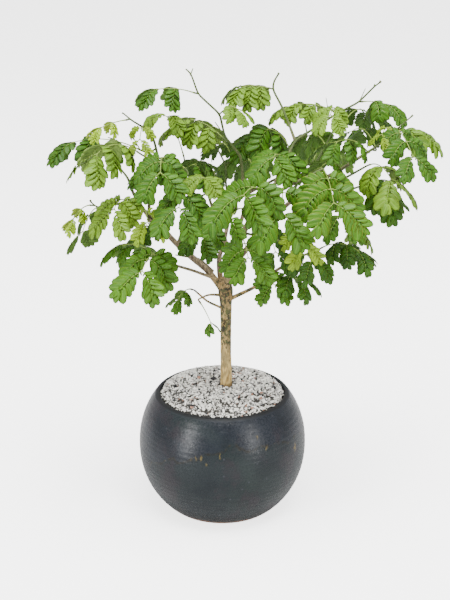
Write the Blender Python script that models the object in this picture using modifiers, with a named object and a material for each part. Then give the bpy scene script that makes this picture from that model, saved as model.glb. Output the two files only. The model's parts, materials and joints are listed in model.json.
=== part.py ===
# Rain tree bonsai in a round glazed pot.
# Lengths are in millimetres and become metres when the meshes are made.
# The pot stands on Z = 0, the crown spreads along X, the front is at -Y.

import math

import bmesh
import bpy
import numpy as np
from mathutils import Vector
from mathutils.bvhtree import BVHTree

MM = 0.001
GAP = 0.3
UP = np.array((0.0, 0.0, 1.0))

# Pot
POT_RADIUS = 75.0
POT_MIDDLE_Z = 60.0
POT_ROUNDNESS = 2.1
POT_FOOT_RADIUS = 45.5
POT_RIM_TOP_Z = 108.8
POT_RIM_RADIUS = 57.0
POT_MOUTH_RADIUS = 55.4
POT_WALL = 5.0
POT_FLOOR = 7.0
POT_INSIDE_CORNER = 6.0
POT_INSIDE_LEVELS = (12.0, 32.0, 62.0, 86.0, 98.0)
POT_NECK_Z = 105.4
POT_OUTSIDE_LEVELS = (105.0, 94.0, 78.0, 60.0, 42.0, 26.0, 11.0, 1.2)
POT_STEPS = 28
DRAIN_HOLE_SIDES = 10
DRAIN_REACH = 3.0
DRAIN_HOLE_RADIUS = 4.0
DRAIN_RING_RADIUS = 22.0
DRAIN_HOLES = 3

# Soil and top dressing
SOIL_TOP_Z = 98.0
SOIL_STEPS = 20
SOIL_LEVELS = (98.0, 92.0, 62.0, 32.0, 12.0)
SOIL_CLEARANCE = 1.3
BED_EDGE_Z = 107.5
BED_EDGE_GAP = 0.6
BED_FOOT_GAP = 0.9
BED_DOMING = 8.0
BED_CROWN_Z = 115.8
BED_RINGS = 6
BED_STEPS = 28
BED_RELIEF = 0.9

# Trunk
TRUNK_X = 3.4
TRUNK_HOLE_RADIUS = 6.4
TRUNK_HOLE_SIDES = 14
TRUNK_HOLE_TOP_Z = 130.0
TRUNK_FOOT_Z = 88.0
# Places along the trunk, each with its radius.
TRUNK = (
    (3.4, 0, 88.3, 5.3), (3.4, 0, 106, 5.5), (3.4, 0, 116, 5.3), (3.4, 0, 128, 4.9),
    (3.1, 0, 150, 4.7), (3.2, 0, 176, 4.8), (3.2, 0, 193, 5.2), (3, 0, 203, 6.6),
    (2.5, 0, 210, 6.2), (2, 0, 215, 4.2),
)

# Limbs and long twigs: radius at the start and at the end, then the points.
LIMBS = (
    (3.0, 1.8, ((0, 0, 206), (-12, -2, 223), (-38, -6, 248), (-55, -8, 268), (-63, -10, 273))),
    (1.7, 0.7, ((-61, -9, 272), (-75, -5, 293), (-79, -3, 306), (-88, 0, 317))),
    (1.4, 0.6, ((-62, -9, 272), (-62, 4, 292), (-54, 14, 318), (-58, 12, 337), (-64, 4, 347),
                (-76, -5, 357), (-81, -6, 362))),
    (1.4, 0.6, ((-55, -8, 268), (-61, -12, 279), (-84, -12, 287), (-106, -6, 281), (-111, -5, 286))),
    (1.7, 0.8, ((0, 0, 212), (-5, -3, 216), (-25, -12, 227), (-42, -25, 237), (-52, -32, 243))),
    (1.1, 0.6, ((-8, 0, 222), (-20, 12, 230), (-30, 15, 230), (-41, 18, 231))),
    (2.5, 1.2, ((1, 1, 206), (-2, 4, 216), (-3, 10, 232), (1, 14, 241), (8, 25, 274), (19, 24, 299))),
    (1.2, 0.6, ((18, 24, 297), (16, 20, 319), (2, 20, 337), (-2, 15, 357), (-20, 10, 375),
                (-26, 5, 394), (-30, 5, 397))),
    (1.3, 0.7, ((8, 25, 274), (3, 38, 289), (3, 45, 305), (-6, 50, 322))),
    (3.0, 1.3, ((3, 0, 205), (4, -4, 227), (12, -8, 249), (22, -12, 270), (29, -12, 285),
                (40, -8, 300), (46, -5, 303))),
    (2.5, 1.5, ((4, -4, 222), (25, -10, 251), (45, -10, 276), (65, -8, 294), (77, -5, 302))),
    (1.6, 0.6, ((76, -5, 301), (103, -3, 316), (130, -5, 335), (142, -5, 346), (156, -5, 359))),
    (1.2, 0.8, ((77, -5, 302), (90, -12, 304), (103, -12, 309), (121, -10, 319))),
    (1.2, 0.8, ((76, -5, 301), (95, -6, 297), (110, -4, 297), (121, 0, 300))),
    (1.3, 0.6, ((45, -5, 303), (52, 8, 315), (62, 20, 333), (72, 22, 339), (97, 25, 355),
                (115, 20, 366), (128, 16, 381), (132, 15, 384))),
    (1.2, 0.7, ((65, -8, 294), (79, 12, 314), (89, 25, 329), (96, 30, 341))),
    (1.2, 0.7, ((62, 20, 333), (57, 30, 345), (51, 36, 359), (43, 40, 373), (44, 40, 380),
                (48, 40, 386))),
    (2.0, 0.8, ((4, -1, 196), (8, -2, 198), (27, -6, 209), (44, -13, 226), (63, -20, 241),
                (82, -12, 246))),
    (1.3, 0.7, ((2, 0, 200), (-12, -6, 203), (-21, -8, 199))),
    (1.1, 0.7, ((2, 0, 187), (-13, -5, 196), (-24, -9, 208))),
    (2.8, 1.0, ((3, -1, 206), (8, -25, 239), (13, -48, 262), (24, -60, 290), (39, -58, 306),
                (50, -58, 313), (81, -50, 327))),
    (2.6, 1.1, ((3, 1, 206), (9, 30, 227), (16, 55, 247), (25, 65, 277), (35, 68, 296))),
    (1.6, 0.8, ((9, 29, 226), (-7, 48, 258), (-15, 55, 284), (-33, 52, 306))),
    (1.5, 0.8, ((-38, -6, 248), (-30, -20, 275), (-22, -26, 294), (-32, -26, 308), (-49, -20, 323))),
    (1.4, 0.8, ((25, 64, 275), (56, 75, 288), (86, 72, 302))),
)
LIMB_SAMPLE_STEP = 3.0
THICK_LIMB_RADIUS = 2.3
TWIG_TIP_RADIUS = 0.8
TWIG_GROWTH = 0.008
TWIG_ROOT_SHARE = 0.85
TWIG_TURN = 0.35
TWIG_BEND_WEIGHT = 6.0
TWIG_SINK_WEIGHT = 1.5
TWIG_LEAST = 5.0
STUB_LENGTH = 3.0
STUB_REACH = 4.0

# Fronds: place in the crown, start of the leaf stalk, end of its rib, how far the rib
# arches, pairs of side leaves, length of the longest side leaf, roll of the side leaves
# in degrees, leaf colour.
FRONDS = (
    ("top_left_1", (-20, 10, 375), (-54, 5, 380), 2, 2, 24, 20, "mid"),
    ("top_left_2", (-34, 48, 313), (-48, 40, 353), 4, 2, 24, -30, "pale"),
    ("top_left_3", (-62, 1, 346), (-68, -14, 341), 5, 2, 16, -50, "young"),
    ("far_left_1", (-76, -5, 357), (-100, -14, 352), 1, 2, 16, 20, "young"),
    ("far_left_2", (-69, 0, 330), (-126, 4, 335), 6, 3, 28, 24, "dark"),
    ("far_left_3", (-70, -18, 333), (-106, -38, 341), 6, 3, 30, 14, "pale"),
    ("left_1", (-47, -23, 326), (-49, -64, 326), 8, 3, 27, -50, "mid"),
    ("left_2", (-31, -12, 317), (-60, -6, 318), 6, 2, 26, 24, "mid"),
    ("left_3", (0, 28, 334), (-25, 40, 337), 5, 3, 28, 22, "pale"),
    ("back_1", (8, 46, 312), (-2, 74, 317), 5, 2, 22, -40, "dark"),
    ("back_2", (-6, 52, 294), (-28, 30, 315), 6, 3, 28, 24, "dark"),
    ("left_4", (-12, -28, 304), (-15, -50, 319), 4, 2, 22, -45, "pale"),
    ("top_1", (43, 40, 373), (21, 46, 374), 1, 3, 26, 20, "pale"),
    ("top_2", (-1, 15, 360), (13, 12, 366), 2, 2, 18, -25, "pale"),
    ("top_3", (93, 30, 357), (58, 56, 354), 4, 3, 24, 24, "pale"),
    ("top_4", (58, 40, 322), (34, 36, 338), 8, 3, 32, 24, "mid"),
    ("top_5", (50, -14, 318), (41, -48, 335), 7, 3, 30, -30, "mid"),
    ("top_right_1", (98, 22, 355), (89, -10, 361), 5, 3, 20, -30, "pale"),
    ("top_right_2", (106, 34, 348), (128, 62, 347), 6, 2, 26, -30, "dark"),
    ("top_right_3", (115, 20, 365), (138, 22, 364), 1, 2, 24, 24, "mid"),
    ("far_right_1", (142, -6, 346), (131, -16, 346), 4, 2, 15, -50, "young"),
    ("far_right_2", (143, 0, 344), (161, 10, 344), 2, 2, 32, 24, "pale"),
    ("far_right_3", (145, -6, 344), (151, -38, 338), 6, 3, 24, -50, "mid"),
    ("right_1", (129, 8, 331), (112, 40, 336), 8, 2, 26, -30, "dark"),
    ("right_2", (121, -12, 331), (92, -32, 344), 6, 3, 24, 24, "mid"),
    ("right_3", (89, 30, 326), (72, 66, 316), 10, 3, 24, -50, "dark"),
    ("right_4", (122, -10, 319), (139, -34, 313), 5, 2, 32, 4, "pale"),
    ("right_5", (122, 0, 300), (136, -4, 299), 3, 2, 34, 20, "dark"),
    ("right_6", (102, -16, 306), (80, -32, 322), 8, 2, 30, 22, "mid"),
    ("front_1", (80, -52, 327), (87, -98, 311), 4, 3, 32, -66, "mid"),
    ("right_7", (90, -14, 300), (98, -42, 282), 8, 3, 26, -60, "dark"),
    ("right_8", (104, 4, 296), (116, 8, 258), 6, 2, 26, -50, "pale"),
    ("front_2", (55, -56, 273), (65, -80, 272), 6, 2, 22, -60, "young"),
    ("front_3", (50, -60, 312), (46, -92, 306), 6, 2, 34, -66, "mid"),
    ("low_right_1", (82, -12, 246), (115, -22, 248), 5, 3, 24, 22, "dark"),
    ("low_right_2", (62, -22, 244), (75, -44, 246), 4, 2, 22, -50, "dark"),
    ("low_right_3", (45, -14, 225), (68, -26, 222), 1, 2, 22, -20, "mid"),
    ("low_right_4", (34, -14, 262), (45, -34, 251), 6, 2, 24, -60, "dark"),
    ("front_4", (18, -52, 268), (21, -90, 264), 2, 3, 25, -66, "mid"),
    ("front_5", (34, -62, 307), (19, -106, 319), 8, 2, 40, -50, "mid"),
    ("front_6", (22, -64, 293), (8, -86, 297), 6, 2, 24, -40, "mid"),
    ("middle_1", (-8, 14, 250), (-21, -10, 264), 4, 2, 24, -60, "dark"),
    ("front_7", (-28, -27, 287), (-37, -74, 307), 8, 3, 29, -50, "mid"),
    ("low_left_1", (-50, 2, 262), (-71, 14, 252), 4, 2, 24, 20, "dark"),
    ("low_left_2", (-54, -30, 244), (-82, -6, 246), 5, 3, 24, 20, "mid"),
    ("low_left_3", (-48, -30, 242), (-67, -70, 250), 8, 3, 31, -50, "mid"),
    ("left_5", (-77, -12, 284), (-89, -40, 289), 6, 3, 26, -40, "pale"),
    ("left_6", (-63, -12, 274), (-66, -50, 292), 5, 2, 22, -40, "young"),
    ("far_left_4", (-111, -5, 283), (-126, -14, 273), 3, 2, 16, 20, "young"),
    ("far_left_5", (-102, -6, 280), (-121, 8, 254), 5, 2, 22, -60, "mid"),
    ("low_left_4", (-24, -10, 206), (-37, -15, 204), 2, 2, 16, 20, "mid"),
    ("low_left_5", (-21, -8, 199), (-10, -10, 179), 1, 1, 10, 20, "mid"),
    ("low_right_5", (44, -14, 228), (41, -24, 227), 1, 2, 20, -60, "mid"),
    ("back_3", (-20, 55, 289), (-33, 98, 286), 8, 3, 28, -55, "mid"),
    ("back_4", (29, 68, 287), (16, 112, 292), 8, 3, 30, -55, "dark"),
    ("back_5", (80, 72, 300), (99, 108, 302), 8, 2, 30, -55, "mid"),
)
# Thickness of the blades, and the thickness each one is given when room is looked for.
BLADE = 0.8
ROOM = 1.9
RIB_HALF = 0.6
STALK_HALF = 0.6
SIDE_ROOT_HALF = 0.8
LOBE_START = 0.45
LOBE_END = 1.1
LOBE_START_SHARE = 0.98
LOBE_END_SHARE = 0.78
LOBE_INNER_SHARE = 0.92
LOBE_SHIFT_AT_START = 0.25
LOBE_SHIFT_AT_END = 0.4
FIRST_PAIR_AT = {1: 0.97, 2: 0.52, 3: 0.38}
LAST_PAIR_AT = 0.97
FORWARD_ANGLE = {1: (48.0,), 2: (8.0, 50.0), 3: (-8.0, 18.0, 52.0)}
LENGTH_SHARE = {1: (1.0,), 2: (0.85, 1.0), 3: (0.75, 0.95, 1.0)}
ANGLE_SPREAD = 6.0
LENGTH_SPREAD = 0.08
HANG_SPREAD = 8.0
START_RISE = 8.0
HANG = 74.0
END_HANG = 54.0
HANG_CURVE = 1.7
END_ROLL_SHARE = 0.75
INNER_REACH_SHARE = 0.9
NO_INNER_LIMIT = 10.0
SHORT_SIDE_LEAF = 18.0
SIDE_TWIST_EASE = 0.4
BLADE_HALF = 0.27
BLADE_HALF_LEAST = 4.0
BLADE_HALF_MOST = 8.5
BLADE_SAG = 0.12
SWINGS = 90
SWING_STEP = 1.9
SWING_ALONG_X = 0.4
SWING_ALONG_Z = 0.6
ROLL_TRIES = (0.0, 8.0, -8.0, 16.0, -16.0)
GOLDEN_TURN = math.radians(137.5)

LEAF_COLOURS = {
    "dark": (0.035, 0.12, 0.02, 1.0),
    "mid": (0.075, 0.22, 0.025, 1.0),
    "pale": (0.15, 0.30, 0.06, 1.0),
    "young": (0.28, 0.42, 0.04, 1.0),
}


def wave(index, salt):
    # Steady number between -1 and 1 for a frond or a grid point.
    value = math.sin(index * 12.9898 + salt * 78.233) * 43758.5453
    return 2.0 * (value - math.floor(value)) - 1.0


def unit(vector):
    return vector / np.linalg.norm(vector)


def make_material(name, colour, roughness):
    made = bpy.data.materials.new(name)
    made.use_nodes = True
    shader = made.node_tree.nodes["Principled BSDF"]
    shader.inputs["Base Color"].default_value = colour
    shader.inputs["Roughness"].default_value = roughness
    made.diffuse_color = colour
    return made


def put_object(name, mesh, group, colour=None):
    made = bpy.data.objects.new(name, mesh)
    group.objects.link(made)
    if colour is not None:
        mesh.materials.clear()
        mesh.materials.append(colour)
    return made


def new_group(name, is_cutter=False):
    group = bpy.data.collections.new(name)
    bpy.context.scene.collection.children.link(group)
    group.hide_render = is_cutter
    return group


def settled_mesh(source):
    # The mesh of an object with its modifiers or its curve bevel worked out.
    graph = bpy.context.evaluated_depsgraph_get()
    mesh = bpy.data.meshes.new_from_object(source.evaluated_get(graph))
    work = bmesh.new()
    work.from_mesh(mesh)
    bmesh.ops.remove_doubles(work, verts=work.verts, dist=0.00001)
    work.to_mesh(mesh)
    work.free()
    return mesh


def turned(name, profile, steps, group):
    # Solid of revolution; the profile runs from the axis round to the axis.
    mesh = bpy.data.meshes.new(name)
    work = bmesh.new()
    points = [work.verts.new((r * MM, 0.0, z * MM)) for r, z in profile]
    for first, second in zip(points, points[1:]):
        work.edges.new((first, second))
    work.to_mesh(mesh)
    work.free()
    shape = put_object(name, mesh, group)
    screw = shape.modifiers.new("turn", "SCREW")
    screw.axis = "Z"
    screw.angle = math.tau
    screw.steps = steps
    screw.render_steps = steps
    screw.use_merge_vertices = True
    screw.merge_threshold = 0.00001
    screw.use_normal_calculate = True
    solid = settled_mesh(shape)
    bpy.data.objects.remove(shape)
    work = bmesh.new()
    work.from_mesh(solid)
    bmesh.ops.recalc_face_normals(work, faces=work.faces)
    work.to_mesh(solid)
    work.free()
    return solid


def cut(target, tools):
    change = target.modifiers.new("cut", "BOOLEAN")
    change.operation = "DIFFERENCE"
    change.operand_type = "COLLECTION"
    change.collection = tools
    change.solver = "EXACT"


def upright_cylinder(name, x, y, low, high, radius, sides, group):
    mesh = bpy.data.meshes.new(name)
    work = bmesh.new()
    bmesh.ops.create_cone(work, cap_ends=True, segments=sides, radius1=radius * MM,
                          radius2=radius * MM, depth=(high - low) * MM)
    bmesh.ops.translate(work, verts=work.verts, vec=(x * MM, y * MM, 0.5 * (low + high) * MM))
    work.to_mesh(mesh)
    work.free()
    tool = put_object(name, mesh, group)
    tool.display_type = "WIRE"
    return tool


def outer_radius(z):
    share = abs((z - POT_MIDDLE_Z) / POT_RADIUS)
    return POT_RADIUS * (1.0 - share ** POT_ROUNDNESS) ** (1.0 / POT_ROUNDNESS)


def inner_radius(z):
    return outer_radius(z) - POT_WALL


def pot_profile():
    inside = [(0.0, POT_FLOOR), (inner_radius(POT_FLOOR) - POT_INSIDE_CORNER, POT_FLOOR)]
    inside += [(inner_radius(z), z) for z in POT_INSIDE_LEVELS]
    inside.append((POT_MOUTH_RADIUS, POT_NECK_Z))
    rim = [(POT_MOUTH_RADIUS + 0.5, POT_RIM_TOP_Z - 0.6), (POT_RIM_RADIUS, POT_RIM_TOP_Z),
           (POT_RIM_RADIUS + 2.6, POT_RIM_TOP_Z - 0.9)]
    outside = [(outer_radius(z), z) for z in POT_OUTSIDE_LEVELS]
    foot = [(POT_FOOT_RADIUS, 0.0), (0.0, 0.0)]
    return inside + rim + outside + foot


def make_pot(group):
    colour = make_material("pot_glaze", (0.035, 0.042, 0.052, 1.0), 0.3)
    mesh = turned("pot_turned", pot_profile(), POT_STEPS, group)
    pot = put_object("pot", mesh, group, colour)
    drains = new_group("drain_tools", True)
    for index in range(DRAIN_HOLES):
        turn = math.tau * index / DRAIN_HOLES + math.radians(90.0)
        upright_cylinder("drain_tool_%d" % index, DRAIN_RING_RADIUS * math.cos(turn),
                         DRAIN_RING_RADIUS * math.sin(turn), -DRAIN_REACH,
                         POT_FLOOR + DRAIN_REACH, DRAIN_HOLE_RADIUS, DRAIN_HOLE_SIDES, drains)
    cut(pot, drains)


def make_soil(group, tools):
    colour = make_material("soil_mix", (0.045, 0.028, 0.017, 1.0), 0.95)
    low = POT_FLOOR + GAP
    profile = [(0.0, SOIL_TOP_Z)]
    profile += [(inner_radius(z) - SOIL_CLEARANCE, z) for z in SOIL_LEVELS]
    profile.append((inner_radius(low) - POT_INSIDE_CORNER - SOIL_CLEARANCE, low))
    profile.append((0.0, low))
    mesh = turned("soil_turned", profile, SOIL_STEPS, group)
    soil = put_object("soil", mesh, group, colour)
    cut(soil, tools)


def make_gravel(group, tools):
    colour = make_material("granite_grit", (0.55, 0.54, 0.52, 1.0), 0.85)
    edge = POT_MOUTH_RADIUS - BED_EDGE_GAP
    profile = []
    for ring in range(BED_RINGS + 1):
        share = ring / BED_RINGS
        height = BED_CROWN_Z - (BED_CROWN_Z - BED_EDGE_Z) * share ** BED_DOMING
        profile.append((edge * share, height))
    base = SOIL_TOP_Z + GAP
    profile += [(edge, POT_NECK_Z), (inner_radius(SOIL_TOP_Z) - BED_FOOT_GAP, base), (0.0, base)]
    mesh = turned("gravel_turned", profile, BED_STEPS, group)
    for vert in mesh.vertices:
        x, y, z = vert.co / MM
        if z < POT_NECK_Z + BED_RELIEF:
            continue
        key = round(math.hypot(x, y) * 7.0) + 131.0 * round(math.atan2(y, x) * 40.0)
        inner = 1.0 if math.hypot(x, y) < edge - 1.0 else 0.0
        vert.co.z += BED_RELIEF * wave(key, 1.0) * MM
        vert.co.x += inner * BED_RELIEF * wave(key, 2.0) * MM
        vert.co.y += inner * BED_RELIEF * wave(key, 3.0) * MM
    gravel = put_object("gravel", mesh, group, colour)
    cut(gravel, tools)


def tube(name, points, radii, resolution, group):
    # Closed round bar through the points.
    curve = bpy.data.curves.new(name, "CURVE")
    curve.dimensions = "3D"
    curve.bevel_depth = MM
    curve.bevel_resolution = resolution
    curve.use_fill_caps = True
    line = curve.splines.new("POLY")
    line.points.add(len(points) - 1)
    for slot, point, radius in zip(line.points, points, radii):
        slot.co = (point[0] * MM, point[1] * MM, point[2] * MM, 1.0)
        slot.radius = radius
    bar = bpy.data.objects.new(name, curve)
    group.objects.link(bar)
    mesh = settled_mesh(bar)
    bpy.data.objects.remove(bar)
    work = bmesh.new()
    work.from_mesh(mesh)
    bmesh.ops.recalc_face_normals(work, faces=work.faces)
    work.to_mesh(mesh)
    work.free()
    return put_object(name, mesh, group)


def limb_samples():
    # Points along every limb, each with the limb's radius there.
    found = []
    for start, end, points in LIMBS:
        path = [np.array(p, dtype=float) for p in points]
        lengths = [np.linalg.norm(b - a) for a, b in zip(path, path[1:])]
        whole = sum(lengths)
        gone = 0.0
        for a, b, length in zip(path, path[1:], lengths):
            count = max(1, int(length / LIMB_SAMPLE_STEP))
            for step in range(count):
                share = step / count
                along = (gone + share * length) / whole
                found.append((a + (b - a) * share, start + (end - start) * along))
            gone += length
        found.append((path[-1], end))
    return found


def arch_point(start, tip, rise):
    # Middle control point of a curve that bulges upwards by the rise.
    middle = 0.5 * (start + tip)
    return middle + np.array((0.0, 0.0, 2.0 * rise))


def rooted(frond, samples):
    # Where the twig of a frond leaves its limb, where the frond starts, which way it heads
    # and how thick the limb is there.
    start, tip, rise = frond[1:4]
    start = np.array(start, dtype=float)
    tip = np.array(tip, dtype=float)
    heading = unit(arch_point(start, tip, rise) - start)
    near = min(samples, key=lambda item: np.linalg.norm(item[0] - start))
    if np.linalg.norm(near[0] - start) < near[1] + STUB_REACH:
        moved = near[0] + heading * (near[1] + STUB_LENGTH)
        return near[0], moved, heading, near[1]

    def reach(item):
        way = start - item[0]
        length = np.linalg.norm(way)
        bend = 1.0 - float(np.dot(way, heading)) / length
        sink = max(0.0, item[0][2] - start[2])
        return length + TWIG_BEND_WEIGHT * bend + TWIG_SINK_WEIGHT * sink

    far_enough = [item for item in samples if np.linalg.norm(item[0] - start) > TWIG_LEAST]
    best = min(far_enough, key=reach)
    return best[0], start, heading, best[1]


def make_wood(group, roots):
    colour = make_material("bark", (0.36, 0.25, 0.13, 1.0), 0.85)
    branches = new_group("branch_pieces", True)
    points = [p[:3] for p in TRUNK]
    radii = [p[3] for p in TRUNK]
    wood = tube("wood", points, radii, 3, group)
    for index, (start, end, line) in enumerate(LIMBS):
        count = len(line)
        sizes = [start + (end - start) * i / (count - 1) for i in range(count)]
        tube("limb_piece_%d" % index, line, sizes, 1 if start > THICK_LIMB_RADIUS else 0,
             branches)
    for index, (root, start, heading, thick) in enumerate(roots):
        length = np.linalg.norm(start - root)
        line = [root, start - heading * length * TWIG_TURN, start]
        if length < thick + STUB_LENGTH + 2.0:
            line = [root, start]
        root_radius = min(thick * TWIG_ROOT_SHARE, TWIG_TIP_RADIUS + TWIG_GROWTH * length)
        last = len(line) - 1
        sizes = [root_radius + (TWIG_TIP_RADIUS - root_radius) * i / last
                 for i in range(len(line))]
        tube("twig_piece_%d" % index, line, sizes, 0, branches)
    join = wood.modifiers.new("join", "BOOLEAN")
    join.operation = "UNION"
    join.operand_type = "COLLECTION"
    join.collection = branches
    join.solver = "MANIFOLD"
    whole = settled_mesh(wood)
    bpy.data.objects.remove(wood)
    for piece in list(branches.objects):
        bpy.data.objects.remove(piece)
    bpy.data.collections.remove(branches)
    return put_object("wood", whole, group, colour)


def curve_point(a, b, c, t):
    return a * (1.0 - t) ** 2 + b * 2.0 * t * (1.0 - t) + c * t * t


def curve_tangent(a, b, c, t):
    return unit((b - a) * (1.0 - t) + (c - b) * t)


def side_rib(origin, heading, span, first, last, parts):
    # Rib of a side leaf: it leaves along its heading and bends down as it goes.
    flat = unit(np.array((heading[0], heading[1], 0.0)))
    points = [origin]
    ways = []
    for step in range(parts):
        share = (step + 0.5) / parts
        lean = math.radians(first + (last - first) * (1.0 - (1.0 - share) ** HANG_CURVE))
        way = flat * math.cos(lean) + np.array((0.0, 0.0, math.sin(lean)))
        ways.append(way)
        points.append(points[-1] + way * span / parts)
    return points, ways, flat


def add_side_leaf(add, add_face, root, rib, hand, tilt, half, span, inner):
    # Two rows of lobes cut to the rib; inner is how fast the inner lobes may widen.
    points, ways, flat = rib
    across = np.cross(UP, flat) * hand
    part = span / len(ways)

    def lie(way):
        level = np.cross(way, across) * hand
        wide = across * math.cos(tilt) + level * math.sin(tilt)
        return wide, np.cross(way, wide) * hand

    near, far = root
    for lobe, way in enumerate(ways):
        last = lobe == len(ways) - 1
        wide, face_up = lie(way)
        if last:
            new_near = new_far = add(points[-1], face_up)
        else:
            bent = unit(way + ways[lobe + 1])
            rib_wide, rib_up = lie(bent)
            new_near = add(points[lobe + 1] - rib_wide * RIB_HALF, rib_up)
            new_far = add(points[lobe + 1] + rib_wide * RIB_HALF, rib_up)
        grow = half if last else half * LOBE_INNER_SHARE
        tips = []
        for edge in (-1.0, 1.0):
            ends = []
            closing = max(0.0, -edge * math.sin(tilt))
            low = LOBE_START + (LOBE_SHIFT_AT_START * closing if lobe else 0.0)
            high = LOBE_END - (0.0 if last else LOBE_SHIFT_AT_END * closing)
            for out, share in ((low, LOBE_START_SHARE), (high, LOBE_END_SHARE)):
                reach = grow * share
                if edge > 0.0:
                    reach = min(reach, max(1.0, (lobe + out) * part * inner - 1.0))
                place = points[lobe] + way * part * out + wide * edge * reach
                ends.append(add(place - face_up * BLADE_SAG * reach, face_up))
            tips.append(ends)
        loops = [(near, tips[0][0], tips[0][1], new_near), (far, new_far, tips[1][1], tips[1][0])]
        for loop in loops:
            add_face(loop if hand > 0.0 else loop[::-1])
        middle = (near, new_near, far) if last else (near, new_near, new_far, far)
        add_face(middle if hand > 0.0 else middle[::-1])
        near, far = new_near, new_far


def frond_sheet(index, frond, start, shift, roll_change):
    # Middle surface of one compound leaf: points, their normals and its triangles.
    tip, rise, pairs, longest, roll = frond[2:7]
    tip = np.array(tip, dtype=float)
    bend = arch_point(start, tip, rise)
    tip = tip + shift
    chord = tip - start
    level = unit(np.array((chord[0] + 0.001, chord[1], 0.0)))
    points = []
    normals = []
    faces = []

    def add(point, normal):
        points.append(point)
        normals.append(unit(normal))
        return len(points) - 1

    def add_face(loop):
        faces.append(loop[:3])
        if len(loop) == 4:
            faces.append((loop[0], loop[2], loop[3]))

    def frame(t):
        along = curve_tangent(start, bend, tip, t)
        flat = np.array((along[0], along[1], 0.0)) + SIDE_TWIST_EASE * level
        side = np.cross(flat, UP)
        side = unit(side - along * np.dot(side, along))
        return along, side, np.cross(side, along)

    along, side, up = frame(0.0)
    first = start + along * GAP
    left = add(first - side * STALK_HALF, up)
    right = add(first + side * STALK_HALF, up)
    half_share = SIDE_ROOT_HALF / np.linalg.norm(chord)
    for pair in range(pairs):
        at_end = pair == pairs - 1
        at = LAST_PAIR_AT
        if pairs > 1:
            at = FIRST_PAIR_AT[pairs] + (LAST_PAIR_AT - FIRST_PAIR_AT[pairs]) * pair / (pairs - 1)
        ends = []
        for t in (at - half_share, at + half_share):
            along, side, up = frame(t)
            place = curve_point(start, bend, tip, t)
            ends.append((add(place - side * STALK_HALF, up), add(place + side * STALK_HALF, up)))
        add_face((left, right, ends[0][1], ends[0][0]))
        add_face((ends[0][0], ends[0][1], ends[1][1], ends[1][0]))
        left, right = ends[1]
        along, side, up = frame(at)
        centre = curve_point(start, bend, tip, at)
        for hand, column in ((-1.0, 0), (1.0, 1)):
            salt = 10.0 + pair * 2.0 + hand
            ahead = math.radians(FORWARD_ANGLE[pairs][pair] + ANGLE_SPREAD * wave(index, salt))
            heading = side * hand * math.cos(ahead) + along * math.sin(ahead)
            span = longest * LENGTH_SHARE[pairs][pair]
            span *= 1.0 + LENGTH_SPREAD * wave(index, salt + 20.0)
            slope = math.degrees(math.asin(max(-1.0, min(1.0, heading[2]))))
            hang = (END_HANG if at_end else HANG) + HANG_SPREAD * wave(index, salt + 40.0)
            lobes = 1 if longest < SHORT_SIDE_LEAF or (pairs == 3 and pair == 0) else 2
            rib = side_rib(centre + side * hand * STALK_HALF, heading, span, START_RISE + slope,
                           -hang, lobes)
            tilt = math.radians((roll + roll_change) * (END_ROLL_SHARE if at_end else 1.0))
            half = max(BLADE_HALF_LEAST, min(BLADE_HALF_MOST, BLADE_HALF * longest))
            inner = INNER_REACH_SHARE / math.tan(ahead) if at_end else NO_INNER_LIMIT
            add_side_leaf(add, add_face, (ends[0][column], ends[1][column]), rib, hand, tilt,
                          half, span, inner)
    return np.array(points), np.array(normals), faces


def thickened(points, normals, faces, depth):
    # Closed blade of even thickness on both sides of its middle surface.
    count = len(points)
    top = points + normals * depth * 0.5
    low = points - normals * depth * 0.5
    solid = []
    borders = {}
    for a, b, c in faces:
        solid.append((a, b, c))
        solid.append((a + count, c + count, b + count))
        for edge in ((a, b), (b, c), (c, a)):
            borders[edge] = True
    for a, b in borders:
        if (b, a) not in borders:
            solid.append((a, a + count, b + count))
            solid.append((a, b + count, b))
    return np.vstack((top, low)), solid


def tree_of(points, faces):
    return BVHTree.FromPolygons([tuple(p) for p in points], faces)


def own_crossings(tree, faces):
    # Pairs of blade faces that cut each other without sharing a corner.
    return sum(1 for a, b in tree.overlap(tree)
               if a < b and not set(faces[a]) & set(faces[b]))


def settle_frond(index, frond, start, wood_tree, taken):
    # Swing the leaf a little, step by step, until it stands clear of all the others.
    best = None
    for attempt in range(SWINGS):
        size = SWING_STEP * math.sqrt(attempt)
        turn = GOLDEN_TURN * attempt
        shift = np.array((SWING_ALONG_X * size * math.sin(2.0 * turn), size * math.cos(turn),
                          SWING_ALONG_Z * size * math.sin(turn)))
        roll_change = ROLL_TRIES[attempt % len(ROLL_TRIES)]
        points, normals, faces = frond_sheet(index, frond, start, shift, roll_change)
        thin_points, thin_faces = thickened(points, normals, faces, BLADE)
        wide_points, wide_faces = thickened(points, normals, faces, ROOM)
        low = wide_points.min(axis=0)
        high = wide_points.max(axis=0)
        roomy = tree_of(wide_points, wide_faces)
        slim = tree_of(thin_points, thin_faces)
        clear_of_stalk = [f for f in wide_faces if min(i % len(points) for i in f) > 1]
        blades = tree_of(wide_points, clear_of_stalk)
        hits = len(slim.overlap(wood_tree)) + len(blades.overlap(wood_tree))
        hits += own_crossings(slim, thin_faces)
        for other_low, other_high, other in taken:
            if (other_low < high).all() and (other_high > low).all():
                hits += len(roomy.overlap(other))
        if best is None or hits < best[0]:
            best = (hits, thin_points, thin_faces, low, high, slim)
        if hits == 0:
            break
    if best[0]:
        raise ValueError("no room for frond " + frond[0])
    taken.append((best[3], best[4], best[5]))
    return best[1], best[2]


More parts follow.
